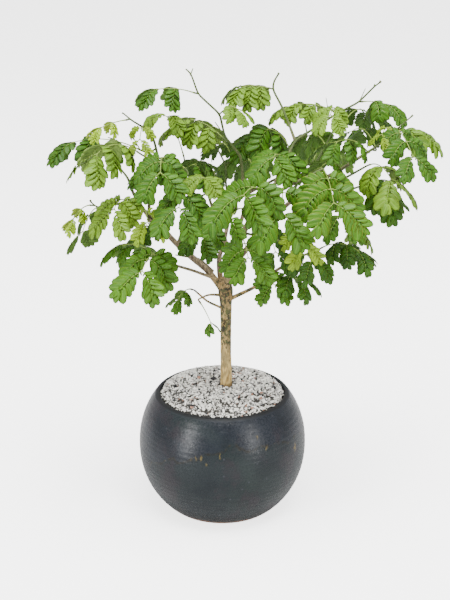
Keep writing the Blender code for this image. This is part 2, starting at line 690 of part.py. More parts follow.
def make_fronds(group, wood, starts):
    colours = {key: make_material("leaf_" + key, value, 0.5) for key, value in LEAF_COLOURS.items()}
    wood.data.calc_loop_triangles()
    wood_points = [tuple(v.co / MM) for v in wood.data.vertices]
    wood_faces = [tuple(t.vertices) for t in wood.data.loop_triangles]
    wood_tree = BVHTree.FromPolygons(wood_points, wood_faces)
    taken = []
    for index, (frond, start) in enumerate(zip(FRONDS, starts)):
        points, faces = settle_frond(index, frond, start, wood_tree, taken)
        mesh = bpy.data.meshes.new("frond_" + frond[0])
        work = bmesh.new()
        made = [work.verts.new(Vector(p) * MM) for p in points]
        for face in faces:
            work.faces.new([made[i] for i in face])
        bmesh.ops.recalc_face_normals(work, faces=work.faces)
        work.to_mesh(mesh)
        work.free()
        put_object("frond_" + frond[0], mesh, group, colours[frond[7]])


def main():
    for thing in list(bpy.data.objects):
        bpy.data.objects.remove(thing)
    tree = new_group("rain_tree_bonsai")
    tools = new_group("hole_tools", True)
    upright_cylinder("stem_hole_tool", TRUNK_X, 0.0, TRUNK_FOOT_Z, TRUNK_HOLE_TOP_Z,
                     TRUNK_HOLE_RADIUS, TRUNK_HOLE_SIDES, tools)
    make_pot(tree)
    make_soil(tree, tools)
    make_gravel(tree, tools)
    samples = limb_samples()
    roots = [rooted(frond, samples) for frond in FRONDS]
    wood = make_wood(tree, roots)
    make_fronds(tree, wood, [root[1] for root in roots])


main()
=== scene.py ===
# Rain tree bonsai in a round glazed pot, dressed for the picture.
# Lengths are in millimetres and become metres when the meshes are made.

import json
import math
import random

import bmesh
import bpy
import numpy as np
from mathutils import Matrix, Vector, noise
from mathutils.kdtree import KDTree

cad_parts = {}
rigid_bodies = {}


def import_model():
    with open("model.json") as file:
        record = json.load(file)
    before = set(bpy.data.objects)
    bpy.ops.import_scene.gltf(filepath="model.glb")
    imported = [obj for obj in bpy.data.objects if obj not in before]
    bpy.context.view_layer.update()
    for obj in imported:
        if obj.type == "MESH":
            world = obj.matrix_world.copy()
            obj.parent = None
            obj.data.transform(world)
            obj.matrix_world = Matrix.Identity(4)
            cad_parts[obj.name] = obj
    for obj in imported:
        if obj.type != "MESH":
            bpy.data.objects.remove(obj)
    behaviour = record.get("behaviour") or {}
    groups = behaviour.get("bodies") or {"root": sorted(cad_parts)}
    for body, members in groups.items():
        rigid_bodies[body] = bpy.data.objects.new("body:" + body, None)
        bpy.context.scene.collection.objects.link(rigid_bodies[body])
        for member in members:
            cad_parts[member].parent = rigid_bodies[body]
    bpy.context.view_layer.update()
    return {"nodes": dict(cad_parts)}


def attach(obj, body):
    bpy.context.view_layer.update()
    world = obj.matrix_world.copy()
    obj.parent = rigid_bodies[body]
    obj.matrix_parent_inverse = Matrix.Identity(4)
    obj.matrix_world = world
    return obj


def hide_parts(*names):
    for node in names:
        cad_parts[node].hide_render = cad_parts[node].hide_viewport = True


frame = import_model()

MM = 0.001
# Points that lie closer than this, in metres, are welded: on solids and on thin bars.
WELD = 0.00001
FINE_WELD = 0.000001
UP = np.array((0.0, 0.0, 1.0))

# Pot
POT_RADIUS = 75.0
POT_MIDDLE_Z = 60.0
POT_ROUNDNESS = 2.1
POT_FOOT_RADIUS = 45.5
POT_WALL = 5.0
POT_FLOOR = 7.0
POT_TURNS = 160
RING_DEPTH = 0.1
# Throwing rings: how close together, how far shifted, and each one's part of the depth.
RING_WAVES = ((1.35, 0.0, 0.6), (2.93, 1.0, 0.4))
DRAIN_HOLE_RADIUS = 4.0
DRAIN_RING_RADIUS = 22.0
DRAIN_HOLES = 3
DRAIN_TURN = math.radians(90.0)
DRAIN_SIDES = 32
DRAIN_TOOL_LENGTH = 20.0
# Outline of the pot as radius and height: inner floor, inner wall, neck, rim, outer wall
# and foot.
INNER_FLOOR = ((0.0, POT_FLOOR), (20.0, POT_FLOOR), (46.0, POT_FLOOR), (51.0, 8.5))
INNER_WALL_HEIGHTS = (12.0, 18.0, 26.0, 36.0, 48.0, 62.0, 76.0, 86.0, 93.0, 98.0)
NECK = ((59.2, 100.6), (57.2, 103.2), (56.0, 104.8), (55.5, 105.9))
RIM = ((55.4, 107.1), (55.7, 108.1), (56.3, 108.65), (57.1, 108.8), (58.2, 108.5),
       (59.2, 107.8), (60.0, 106.9))
OUTER_WALL_TOP = 105.6
OUTER_WALL_END = 3.0
OUTER_WALL_STEPS = 96
FOOT_TURN_Z = 1.6
FOOT_TURN_DROP = 0.2
FOOT_TURN_IN = 0.4
FOOT_EDGE_Z = 0.5
FOOT_ROUND = 0.6
FOOT_INNER_RADIUS = 30.0

# Glaze: the drip line's highest point, its bend and its sway.
DRIP_TOP_X = 22.0
DRIP_TOP_Z = 86.5
DRIP_BEND = 0.0043
DRIP_SWAY = 5.0
# Measured up from the drip line: the upper glaze and the dark band's two sides.
UPPER_GLAZE = (-1.0, 1.5)
BAND_BELOW = (-2.4, -0.4)
BAND_ABOVE = (1.6, 0.2)
# Ochre runs below it: place across the pot, top and length.
OCHRE_RUNS = (
    (-22.8, 78.6, 3.2), (-18.0, 79.6, 4.2), (-13.5, 73.5, 1.8), (-1.9, 82.6, 4.4),
    (29.8, 94.0, 2.4), (37.7, 83.4, 2.6), (63.9, 75.5, 7.5),
)
FRONT_SIDE = (0.0, -10.0)
# Heights where the rim turns black and matt, and where the bare clay ends.
BLACK_RIM = (106.8, 108.2)
MATT_RIM = (105.0, 107.5)
CLAY_TOP = (5.5, 4.7)
CLAY_SWAY = 1.8

# Bed of grit
BED_EDGE_RADIUS = 54.8
BED_EDGE_Z = 107.5
BED_CROWN_Z = 115.8
BED_DOMING = 8.0
BED_SINK = 1.6
BED_TOP_STEPS = 18
BED_TURNS = 72
BED_UNDERSIDE = ((BED_EDGE_RADIUS, 105.2), (59.4, 98.4), (0.0, 98.4))
BED_TOP_ABOVE = 100.0
# Roughness: fineness and height of each layer of lumps.
BED_LUMPS = ((180.0, 0.6), (420.0, 0.3))
# How far the bed lies below the rim at the right and the back, and from where to where.
EDGE_DROP = 1.4
DROP_RADII = (47.0, 54.0)
DROP_SLANT = 0.8
DROP_SIDE = (-8.0, 38.0)

# Loose chips, in half lengths: the least, what a chip may have more and the power that makes
# the small ones common. Those along the edge have their own sizes and lie in a narrow band.
CHIPS = 2900
CHIP_SEED = 7
CHIP_SHAPES = 9
CHIP_CORNERS = 9
CHIP_FORM = (1.0, 0.70, 0.52)
CHIP_LEAST = 0.95
CHIP_MORE = 1.45
CHIP_SPREAD = 1.5
CHIP_INSET = 1.2
CHIP_ROOM = 0.6
CHIP_LAYER = 0.75
CHIP_TIP = 1.5
CHIP_TONES = 0.98
EDGE_CHIPS = 330
EDGE_CHIP_LEAST = 1.0
EDGE_CHIP_MORE = 0.8
EDGE_CHIP_INSET = 0.4
EDGE_CHIP_BAND = 2.4
# Chips that stand out: place, half length and tone.
MARKED_CHIPS = (
    (-7.9, 7.2, 4.0, 0.94), (-21.0, 9.4, 2.3, 0.97), (34.0, -21.9, 2.2, 0.97),
    (19.3, 30.8, 2.2, 0.99), (-26.1, -43.9, 2.1, 0.97), (-27.3, -35.3, 2.2, 0.99),
    (34.3, -38.2, 2.0, 0.94), (-0.3, -9.1, 1.9, 0.94), (24.9, 8.3, 2.7, 0.80),
    (-24.1, -15.6, 2.7, 0.80),
)
MARKED_RISE = 1.9
MARKED_TIP_SHARE = 0.2
# Granite: from which tone on a chip has which colour.
GRIT_TONES = (
    (0.0, (0.95, 0.93, 0.87)), (0.34, (0.82, 0.80, 0.74)), (0.58, (0.48, 0.46, 0.43)),
    (0.72, (0.93, 0.91, 0.87)), (0.85, (0.15, 0.15, 0.15)), (0.91, (0.022, 0.023, 0.026)),
    (0.96, (0.36, 0.20, 0.14)), (0.985, (0.46, 0.33, 0.26)),
)

# Trunk
TRUNK_X = 3.4
TRUNK_FOOT = 5.6
# Places along the trunk, each with its radius.
TRUNK = (
    (3.4, 0, 88.3, 5.3), (3.4, 0, 106, 5.5), (3.4, 0, 116, 5.3), (3.4, 0, 128, 4.9),
    (3.1, 0, 150, 4.7), (3.2, 0, 176, 4.8), (3.2, 0, 193, 5.2), (3, 0, 203, 6.6),
    (2.5, 0, 210, 6.2), (2, 0, 215, 4.2),
)

# Limbs and long twigs: radius at the start and at the end, then the points.
LIMBS = (
    (3.0, 1.8, ((0, 0, 206), (-12, -2, 223), (-38, -6, 248), (-55, -8, 268), (-63, -10, 273))),
    (1.7, 0.7, ((-61, -9, 272), (-75, -5, 293), (-79, -3, 306), (-88, 0, 317))),
    (1.4, 0.6, ((-62, -9, 272), (-62, 4, 292), (-54, 14, 318), (-58, 12, 337), (-64, 4, 347),
                (-76, -5, 357), (-81, -6, 362))),
    (1.4, 0.6, ((-55, -8, 268), (-61, -12, 279), (-84, -12, 287), (-106, -6, 281), (-111, -5, 286))),
    (1.7, 0.8, ((0, 0, 212), (-5, -3, 216), (-25, -12, 227), (-42, -25, 237), (-52, -32, 243))),
    (1.1, 0.6, ((-8, 0, 222), (-20, 12, 230), (-30, 15, 230), (-41, 18, 231))),
    (2.5, 1.2, ((1, 1, 206), (-2, 4, 216), (-3, 10, 232), (1, 14, 241), (8, 25, 274), (19, 24, 299))),
    (1.2, 0.6, ((18, 24, 297), (16, 20, 319), (2, 20, 337), (-2, 15, 357), (-20, 10, 375),
                (-26, 5, 394), (-30, 5, 397))),
    (1.3, 0.7, ((8, 25, 274), (3, 38, 289), (3, 45, 305), (-6, 50, 322))),
    (3.0, 1.3, ((3, 0, 205), (4, -4, 227), (12, -8, 249), (22, -12, 270), (29, -12, 285),
                (40, -8, 300), (46, -5, 303))),
    (2.5, 1.5, ((4, -4, 222), (25, -10, 251), (45, -10, 276), (65, -8, 294), (77, -5, 302))),
    (1.6, 0.6, ((76, -5, 301), (103, -3, 316), (130, -5, 335), (142, -5, 346), (156, -5, 359))),
    (1.2, 0.8, ((77, -5, 302), (90, -12, 304), (103, -12, 309), (121, -10, 319))),
    (1.2, 0.8, ((76, -5, 301), (95, -6, 297), (110, -4, 297), (121, 0, 300))),
    (1.3, 0.6, ((45, -5, 303), (52, 8, 315), (62, 20, 333), (72, 22, 339), (97, 25, 355),
                (115, 20, 366), (128, 16, 381), (132, 15, 384))),
    (1.2, 0.7, ((65, -8, 294), (79, 12, 314), (89, 25, 329), (96, 30, 341))),
    (1.2, 0.7, ((62, 20, 333), (57, 30, 345), (51, 36, 359), (43, 40, 373), (44, 40, 380),
                (48, 40, 386))),
    (2.0, 0.8, ((4, -1, 196), (8, -2, 198), (27, -6, 209), (44, -13, 226), (63, -20, 241),
                (82, -12, 246))),
    (1.3, 0.7, ((2, 0, 200), (-12, -6, 203), (-21, -8, 199))),
    (1.1, 0.7, ((2, 0, 187), (-13, -5, 196), (-24, -9, 208))),
    (2.8, 1.0, ((3, -1, 206), (8, -25, 239), (13, -48, 262), (24, -60, 290), (39, -58, 306),
                (50, -58, 313), (81, -50, 327))),
    (2.6, 1.1, ((3, 1, 206), (9, 30, 227), (16, 55, 247), (25, 65, 277), (35, 68, 296))),
    (1.6, 0.8, ((9, 29, 226), (-7, 48, 258), (-15, 55, 284), (-33, 52, 306))),
    (1.5, 0.8, ((-38, -6, 248), (-30, -20, 275), (-22, -26, 294), (-32, -26, 308), (-49, -20, 323))),
    (1.4, 0.8, ((25, 64, 275), (56, 75, 288), (86, 72, 302))),
)
# Buds, forks and bare spikes on the twigs: both ends, each with its radius.
SPIKES = (
    ((-26.3, 5.3, 391.5), (-24.0, 6.0, 397.3), 0.60, 0.40),
    ((47.4, 40.0, 385.2), (48.3, 40.0, 387.0), 0.80, 1.10),
    ((131.2, 15.3, 383.3), (132.4, 15.0, 384.9), 0.90, 1.30),
    ((126.6, 16.2, 379.6), (127.6, 16.0, 382.4), 0.60, 0.50),
    ((115.5, 20.0, 366.3), (120.4, 21.0, 377.5), 0.50, 0.30),
    ((91.0, 24.2, 351.2), (87.7, 24.0, 369.0), 0.50, 0.28),
    ((72.0, 22.0, 339.2), (69.9, 22.0, 350.5), 0.70, 0.50),
    ((2.0, 20.0, 337.2), (-6.1, 20.0, 349.1), 0.60, 0.45),
    ((-69.0, 0.0, 330.4), (-74.4, 0.0, 340.9), 0.60, 0.35),
    ((-80.8, -6.0, 361.8), (-82.6, -6.0, 362.8), 0.60, 0.80),
    ((155.6, -5.0, 358.6), (157.8, -5.0, 360.7), 0.65, 0.95),
    ((-110.8, -5.0, 285.8), (-111.7, -5.0, 287.7), 0.80, 1.10),
)
LIMB_SAMPLE_STEP = 3.0
THICK_LIMB_RADIUS = 2.3
# Twigs that carry the fronds: their radii, how they turn into the frond's heading, and what
# counts against a place on a limb that one could leave from.
TWIG_TIP_RADIUS = 0.8
TWIG_GROWTH = 0.008
TWIG_ROOT_SHARE = 0.85
TWIG_TURN = 0.35
TWIG_BEND_WEIGHT = 6.0
TWIG_SINK_WEIGHT = 1.5
TWIG_LEAST = 5.0
TWIG_STRAIGHT = 2.0
TWIG_END_SWELL = 1.12
STUB_LENGTH = 3.0
STUB_REACH = 4.0
TRUNK_STEP = 2.0
LIMB_STEP = 2.2
CORNER_EASINGS = 3
LIMB_FLARE = 0.22
LIMB_FLARE_LENGTH = 6.0
KNOT_SWELL = 0.10
KNOT_EVERY = 5
# How round the bars are.
TRUNK_ROUNDING = 5
THICK_ROUNDING = 3
THIN_ROUNDING = 2
TWIG_ROUNDING = 1
# Bark turns green between these radii and heights, and is rough on thicker wood.
YOUNG_RADII = (1.75, 1.05)
YOUNG_HEIGHTS = (215.0, 275.0)
OLD_RADIUS = 2.0
# Heights between which a look of the bark begins or ends.
DIRT_END = (122.0, 116.5)
MOSS_START = (134.0, 172.0)
MOSS_END = (224.0, 206.0)
MOSS_FADE = (232.0, 214.0)
FORK_START = (190.0, 200.0)
FORK_END = (222.0, 210.0)
LIMBS_START = (206.0, 226.0)
BARK_LUMPS = ((260.0, 0.035), (700.0, 0.02))

# Fronds: place in the crown, start of the leaf stalk, end of its rib, how far the rib
# arches, pairs of side leaves, length of the longest side leaf, roll of the side leaves
# in degrees, leaf colour.
FRONDS = (
    ("top_left_1", (-20, 10, 375), (-54, 5, 380), 2, 2, 24, 20, "mid"),
    ("top_left_2", (-34, 48, 313), (-48, 40, 353), 4, 2, 24, -30, "pale"),
    ("top_left_3", (-62, 1, 346), (-68, -14, 341), 5, 2, 16, -50, "young"),
    ("far_left_1", (-76, -5, 357), (-100, -14, 352), 1, 2, 16, 20, "young"),
    ("far_left_2", (-69, 0, 330), (-126, 4, 335), 6, 3, 28, 24, "dark"),
    ("far_left_3", (-70, -18, 333), (-106, -38, 341), 6, 3, 30, 14, "pale"),
    ("left_1", (-47, -23, 326), (-49, -64, 326), 8, 3, 27, -50, "mid"),
    ("left_2", (-31, -12, 317), (-60, -6, 318), 6, 2, 26, 24, "mid"),
    ("left_3", (0, 28, 334), (-25, 40, 337), 5, 3, 28, 22, "pale"),
    ("back_1", (8, 46, 312), (-2, 74, 317), 5, 2, 22, -40, "dark"),
    ("back_2", (-6, 52, 294), (-28, 30, 315), 6, 3, 28, 24, "dark"),
    ("left_4", (-12, -28, 304), (-15, -50, 319), 4, 2, 22, -45, "pale"),
    ("top_1", (43, 40, 373), (21, 46, 374), 1, 3, 26, 20, "pale"),
    ("top_2", (-1, 15, 360), (13, 12, 366), 2, 2, 18, -25, "pale"),
    ("top_3", (93, 30, 357), (58, 56, 354), 4, 3, 24, 24, "pale"),
    ("top_4", (58, 40, 322), (34, 36, 338), 8, 3, 32, 24, "mid"),
    ("top_5", (50, -14, 318), (41, -48, 335), 7, 3, 30, -30, "mid"),
    ("top_right_1", (98, 22, 355), (89, -10, 361), 5, 3, 20, -30, "pale"),
    ("top_right_2", (106, 34, 348), (128, 62, 347), 6, 2, 26, -30, "dark"),
    ("top_right_3", (115, 20, 365), (138, 22, 364), 1, 2, 24, 24, "mid"),
    ("far_right_1", (142, -6, 346), (131, -16, 346), 4, 2, 15, -50, "young"),
    ("far_right_2", (143, 0, 344), (161, 10, 344), 2, 2, 32, 24, "pale"),
    ("far_right_3", (145, -6, 344), (151, -38, 338), 6, 3, 24, -50, "mid"),
    ("right_1", (129, 8, 331), (112, 40, 336), 8, 2, 26, -30, "dark"),
    ("right_2", (121, -12, 331), (92, -32, 344), 6, 3, 24, 24, "mid"),
    ("right_3", (89, 30, 326), (72, 66, 316), 10, 3, 24, -50, "dark"),
    ("right_4", (122, -10, 319), (139, -34, 313), 5, 2, 32, 4, "pale"),
    ("right_5", (122, 0, 300), (136, -4, 299), 3, 2, 34, 20, "dark"),
    ("right_6", (102, -16, 306), (80, -32, 322), 8, 2, 30, 22, "mid"),
    ("front_1", (80, -52, 327), (87, -98, 311), 4, 3, 32, -66, "mid"),
    ("right_7", (90, -14, 300), (98, -42, 282), 8, 3, 26, -60, "dark"),
    ("right_8", (104, 4, 296), (116, 8, 258), 6, 2, 26, -50, "pale"),
    ("front_2", (55, -56, 273), (65, -80, 272), 6, 2, 22, -60, "young"),
    ("front_3", (50, -60, 312), (46, -92, 306), 6, 2, 34, -66, "mid"),
    ("low_right_1", (82, -12, 246), (115, -22, 248), 5, 3, 24, 22, "dark"),
    ("low_right_2", (62, -22, 244), (75, -44, 246), 4, 2, 22, -50, "dark"),
    ("low_right_3", (45, -14, 225), (68, -26, 222), 1, 2, 22, -20, "mid"),
    ("low_right_4", (34, -14, 262), (45, -34, 251), 6, 2, 24, -60, "dark"),
    ("front_4", (18, -52, 268), (21, -90, 264), 2, 3, 25, -66, "mid"),
    ("front_5", (34, -62, 307), (19, -106, 319), 8, 2, 40, -50, "mid"),
    ("front_6", (22, -64, 293), (8, -86, 297), 6, 2, 24, -40, "mid"),
    ("middle_1", (-8, 14, 250), (-21, -10, 264), 4, 2, 24, -60, "dark"),
    ("front_7", (-28, -27, 287), (-37, -74, 307), 8, 3, 29, -50, "mid"),
    ("low_left_1", (-50, 2, 262), (-71, 14, 252), 4, 2, 24, 20, "dark"),
    ("low_left_2", (-54, -30, 244), (-82, -6, 246), 5, 3, 24, 20, "mid"),
    ("low_left_3", (-48, -30, 242), (-67, -70, 250), 8, 3, 31, -50, "mid"),
    ("left_5", (-77, -12, 284), (-89, -40, 289), 6, 3, 26, -40, "pale"),
    ("left_6", (-63, -12, 274), (-66, -50, 292), 5, 2, 22, -40, "young"),
    ("far_left_4", (-111, -5, 283), (-126, -14, 273), 3, 2, 16, 20, "young"),
    ("far_left_5", (-102, -6, 280), (-121, 8, 254), 5, 2, 22, -60, "mid"),
    ("low_left_4", (-24, -10, 206), (-37, -15, 204), 2, 2, 16, 20, "mid"),
    ("low_left_5", (-21, -8, 199), (-10, -10, 179), 1, 1, 10, 20, "mid"),
    ("low_right_5", (44, -14, 228), (41, -24, 227), 1, 2, 20, -60, "mid"),
    ("back_3", (-20, 55, 289), (-33, 98, 286), 8, 3, 28, -55, "mid"),
    ("back_4", (29, 68, 287), (16, 112, 292), 8, 3, 30, -55, "dark"),
    ("back_5", (80, 72, 300), (99, 108, 302), 8, 2, 30, -55, "mid"),
)
# Thickness of a solid's blades and half the width of its stalk.
BLADE = 0.8
STALK_HALF = 0.6
# By the number of pairs: place of the first pair along the rib, then how far forward each
# pair leans and its share of the longest side leaf.
FIRST_PAIR_AT = {1: 0.97, 2: 0.52, 3: 0.38}
FORWARD_ANGLE = {1: (48.0,), 2: (8.0, 50.0), 3: (-8.0, 18.0, 52.0)}
LENGTH_SHARE = {1: (1.0,), 2: (0.85, 1.0), 3: (0.75, 0.95, 1.0)}
LAST_PAIR_AT = 0.97
ANGLE_SPREAD = 6.0
LENGTH_SPREAD = 0.08
HANG_SPREAD = 8.0
START_RISE = 8.0
HANG = 74.0
END_HANG = 54.0
HANG_CURVE = 1.7
END_ROLL_SHARE = 0.75
INNER_REACH_SHARE = 0.9
NO_INNER_LIMIT = 10.0
SHORT_SIDE_LEAF = 18.0
SIDE_TWIST_EASE = 0.4
BLADE_HALF = 0.27
BLADE_HALF_LEAST = 4.0
BLADE_HALF_MOST = 8.5
# The swings that the solids' fronds tried to find room, in order.
SWINGS = 90
SWING_STEP = 1.9
SWING_ALONG_X = 0.4
SWING_ALONG_Z = 0.6
ROLL_TRIES = (0.0, 8.0, -8.0, 16.0, -16.0)
GOLDEN_TURN = math.radians(137.5)
SAME_PLACE = 0.02

# Finer leaves: rows and columns of a leaflet's mesh, its thickness, and the frond's stalks.
LEAF_ROWS = (0.0, 0.2, 0.45, 0.7, 0.9, 1.0)
LEAF_COLUMNS = (-1.0, -0.45, 0.0, 0.45, 1.0)
LEAF_THICK = 0.14
# U stays under 1 on a leaflet's upper side and is this much more on its underside.
TOP_U_END = 0.999
UNDER_U = 1.01
RIB_PARTS = 12
STALK_RADIUS = 0.52
SIDE_STALK_RADIUS = 0.32
STALK_PARTS = 18
STALK_TAPER = 0.35
STALK_SWELL = 0.55
STALK_SWELL_STEPS = 1.3
STALK_SINK = 0.5
SIDE_STALK_SHARE = 0.8
SIDE_STALK_TAPER = 0.4
SIDE_STALK_SWELL = 1.5
SIDE_STALK_SINK = 0.2

# Leaflets: shares of a leaflet's length or of the side leaf's span, and angles in degrees.
FROND_SEED = 1000
LEAFLET_LENGTH = 1.17 / math.sin(math.radians(56.0))
LEAFLET_WIDTH = 0.288
LEAFLET_FOOT_SHARE = 0.66
LEAFLET_SHOULDER = 0.52
LEAFLET_TIP_POWER = 2.1
LEAFLET_SPACING = 0.345
LEAST_PAIRS = 4
LEAFLETS_FROM = 0.10
LEAFLETS_OVER = 0.70
LEAFLET_TURN = 60.0
LEAFLET_TURN_FALL = 16.0
LEAFLET_TURN_SPREAD = 18.0
FIRST_LEAFLET_SIZE = 0.74
LEAFLET_SIZE_RISE = 0.40
LEAFLET_RISE_PACE = 1.25
LEAFLET_SIZE_SPREAD = 0.26
END_LEAFLET_TURN = 20.0
END_LEAFLET_SIZE = 0.92
LEAST_ROOM = 2.0
ROOM_GAP = 0.4
LEAST_SLANT = 0.3
LEAFLET_INSET = 0.45
LEAFLET_DROOP = 0.10
# How the leaflets twist, overlap, fold along their midrib, sag and wobble.
LEAF_TWIST = 16.0
SHINGLE = 11.0
SHINGLE_SPREAD = 7.0
LEAFLET_FOLD = 0.12
FOLD_SPREAD = 0.10
LEAFLET_SAG = 0.10
SAG_SPREAD = 0.08
WOBBLE = 0.2
WOBBLE_PACE = 5.0
# Young leaflets are smaller, narrower and more folded.
YOUNG_SIZE = 0.88
YOUNG_WIDTH = 0.25
YOUNG_FOLD = 0.50
# How much the fronds and the leaflets of one frond differ in shade.
FROND_SHADES = 0.5
LEAFLET_SHADES = 0.5
# How yellow the leaflets' margins are, on most fronds and on those that differ.
USUAL_EDGE = 0.24
YELLOW_EDGES = {
    "front_1": 0.55, "left_4": 0.5, "front_2": 0.55, "left_5": 0.45, "top_left_3": 0.6,
    "right_4": 0.35, "right_8": 0.3,
}
# Side veins: how far forward they run and how close together.
VEIN_SLANT = 0.22
VEIN_PACE = 52.0

# Colours. A leaf has its upper side, its underside and its veins, and where two are given
# the look runs from one to the other.
LEAF_COLOURS = {
    "dark": ((0.026, 0.086, 0.001), (0.052, 0.125, 0.012), (0.068, 0.15, 0.016)),
    "mid": ((0.035, 0.110, 0.001), (0.084, 0.170, 0.022), (0.12, 0.25, 0.024)),
    "pale": ((0.112, 0.222, 0.010), (0.185, 0.290, 0.055), (0.21, 0.34, 0.048)),
    "young": ((0.20, 0.33, 0.006), (0.26, 0.36, 0.036), (0.34, 0.45, 0.048)),
}
LEAF_MARGIN = (0.34, 0.37, 0.04)
LEAF_STALK = (0.19, 0.27, 0.05)
BARK_TAN = ((0.264, 0.164, 0.048), (0.592, 0.424, 0.152))
BARK_BROAD = (0.176, 0.136, 0.060)
BARK_GREY = ((0.084, 0.060, 0.032), (0.264, 0.204, 0.116))
BARK_FORK = (0.216, 0.120, 0.044)
BARK_DIRT = (0.150, 0.090, 0.035)
MOSS = ((0.008, 0.010, 0.006), (0.056, 0.068, 0.018))
YOUNG_BARK = ((0.030, 0.064, 0.010), (0.094, 0.126, 0.026))
GLAZE_BELOW = ((0.0048, 0.0080, 0.0104), (0.0096, 0.0144, 0.0160))
GLAZE_ABOVE = ((0.0048, 0.0072, 0.0112), (0.0104, 0.0136, 0.0192))
GLAZE_CLOUD = (0.0160, 0.0248, 0.0208)
GLAZE_VIOLET = (0.0170, 0.0125, 0.0165)
GLAZE_RING = (0.0208, 0.0248, 0.0320)
GLAZE_LINE = (0.0096, 0.0088, 0.0064)
GLAZE_SPECK = (0.0480, 0.0480, 0.0600)
GLAZE_RIM = (0.0048, 0.0048, 0.0056)
OCHRE = (0.1360, 0.1000, 0.0280)
OCHRE_DUST = (0.1280, 0.0960, 0.0400)
CLAY = ((0.1760, 0.0960, 0.0680), (0.3360, 0.2160, 0.1600))
GRIT_SPECK = (0.04, 0.04, 0.045)
GRIT_CLOUD = (0.62, 0.59, 0.52)
# The bed's grains are dark fine grit, darkened further as painted shade between the chips. The gap
# colour is painted shade between the grains.
BED_GRAINS_AND_SHADE = ((0.025, 0.023, 0.020), (0.16, 0.15, 0.13))
BED_GAP_SHADE = (0.04, 0.037, 0.033)
SOIL = ((0.018, 0.011, 0.007), (0.09, 0.055, 0.032))
# Painted shade between the soil's crumbs.
SOIL_GAP_SHADE = (0.010, 0.007, 0.005)

# Floor, light and camera, in metres, watts and degrees.
FLOOR_HALF = 40.0
FLOOR_UNSEEN = (0.55, 0.55, 0.55)
FLOOR_SEEN = (0.98, 0.98, 0.975)
# How much the floor glows for the camera, and for the plant.
FLOOR_WHITE = 2.5
FLOOR_GLOW = 0.04
SKY_COLOUR = (1.0, 1.0, 0.995)
SKY_LIGHT = 1.04
# Lamps: place, width, height and power.
LAMPS = (
    ("sky_box", (0.15, -0.55, 2.3), 1.2, 1.2, 108.0),
    ("left_window", (-1.75, -1.55, 0.70), 0.42, 1.5, 44.0),
    ("right_window", (1.55, -1.65, 0.75), 0.42, 1.5, 27.0),
)
LAMP_AIM = (0.0, 0.0, 0.15)
CAMERA_PLACE = (0.0024, -1.1, 0.609)
CAMERA_PITCH = 20.6
CAMERA_LENS = 80.76
CAMERA_SENSOR = 36.0


def wave(index, salt):
    # Steady number between -1 and 1 for a frond or a limb.
    value = math.sin(index * 12.9898 + salt * 78.233) * 43758.5453
    return 2.0 * (value - math.floor(value)) - 1.0


def unit(vector):
    return vector / np.linalg.norm(vector)


def spaced(points, sizes, step):
    # Places every few millimetres along a line, each with its radius.
    path = [np.array(p, dtype=float) for p in points]
    found = []
    for a, b, low, high in zip(path, path[1:], sizes, sizes[1:]):
        count = max(1, int(np.linalg.norm(b - a) / step))
        for part in range(count):
            share = part / count
            found.append((a + (b - a) * share, low + (high - low) * share))
    found.append((path[-1], sizes[-1]))
    return found


def limb_samples():
    # Places along every limb, each with the limb's radius there.
    found = []
    for start, end, points in LIMBS:
        path = np.array(points, dtype=float)
        gone = np.cumsum([0.0, *np.linalg.norm(np.diff(path, axis=0), axis=1)])
        found += spaced(points, start + (end - start) * gone / gone[-1], LIMB_SAMPLE_STEP)
    return found


def arch_point(start, tip, rise):
    # Middle control point of a curve that bulges upwards by the rise.
    middle = 0.5 * (start + tip)
    return middle + np.array((0.0, 0.0, 2.0 * rise))


def rooted(frond, samples):
    # Where the twig of a frond leaves its limb, where the frond starts, which way it heads
    # and how thick the limb is there.
    start, tip, rise = frond[1:4]
    start = np.array(start, dtype=float)
    tip = np.array(tip, dtype=float)
    heading = unit(arch_point(start, tip, rise) - start)
    near = min(samples, key=lambda item: np.linalg.norm(item[0] - start))
    if np.linalg.norm(near[0] - start) < near[1] + STUB_REACH:
        moved = near[0] + heading * (near[1] + STUB_LENGTH)
        return near[0], moved, heading, near[1]

    def reach(item):
        way = start - item[0]
        length = np.linalg.norm(way)
        bend = 1.0 - float(np.dot(way, heading)) / length
        sink = max(0.0, item[0][2] - start[2])
        return length + TWIG_BEND_WEIGHT * bend + TWIG_SINK_WEIGHT * sink

    far_enough = [item for item in samples if np.linalg.norm(item[0] - start) > TWIG_LEAST]
    best = min(far_enough, key=reach)
    return best[0], start, heading, best[1]


def curve_point(a, b, c, t):
    return a * (1.0 - t) ** 2 + b * 2.0 * t * (1.0 - t) + c * t * t


def curve_tangent(a, b, c, t):
    return unit((b - a) * (1.0 - t) + (c - b) * t)


def side_rib(leaf, parts):
    # Rib of a side leaf: it leaves along its heading and bends down as it goes. Points,
    # directions and the level direction across it.
    heading, first, last = leaf["heading"], leaf["first"], leaf["last"]
    flat = unit(np.array((heading[0], heading[1], 0.0)))
    points = [leaf["root"]]
    ways = []
    for step in range(parts):
        share = (step + 0.5) / parts
        lean = math.radians(first + (last - first) * (1.0 - (1.0 - share) ** HANG_CURVE))
        way = flat * math.cos(lean) + np.array((0.0, 0.0, math.sin(lean)))
        ways.append(way)
        points.append(points[-1] + way * leaf["span"] / parts)
    return points, ways, np.cross(UP, flat) * leaf["hand"]


def swing(attempt):
    # How far the end of a frond is moved, and how much its side leaves are rolled.
    size = SWING_STEP * math.sqrt(attempt)
    turn = GOLDEN_TURN * attempt
    shift = np.array((SWING_ALONG_X * size * math.sin(2.0 * turn), size * math.cos(turn),
                      SWING_ALONG_Z * size * math.sin(turn)))
    return shift, ROLL_TRIES[attempt % len(ROLL_TRIES)]


def frond_line(frond, start, shift):
    # Start, middle control point and end of the frond's rib, and its level direction.
    tip = np.array(frond[2], dtype=float)
    bend = arch_point(start, tip, frond[3])
    tip = tip + shift
    chord = tip - start
    level = unit(np.array((chord[0] + 0.001, chord[1], 0.0)))
    return start, bend, tip, level


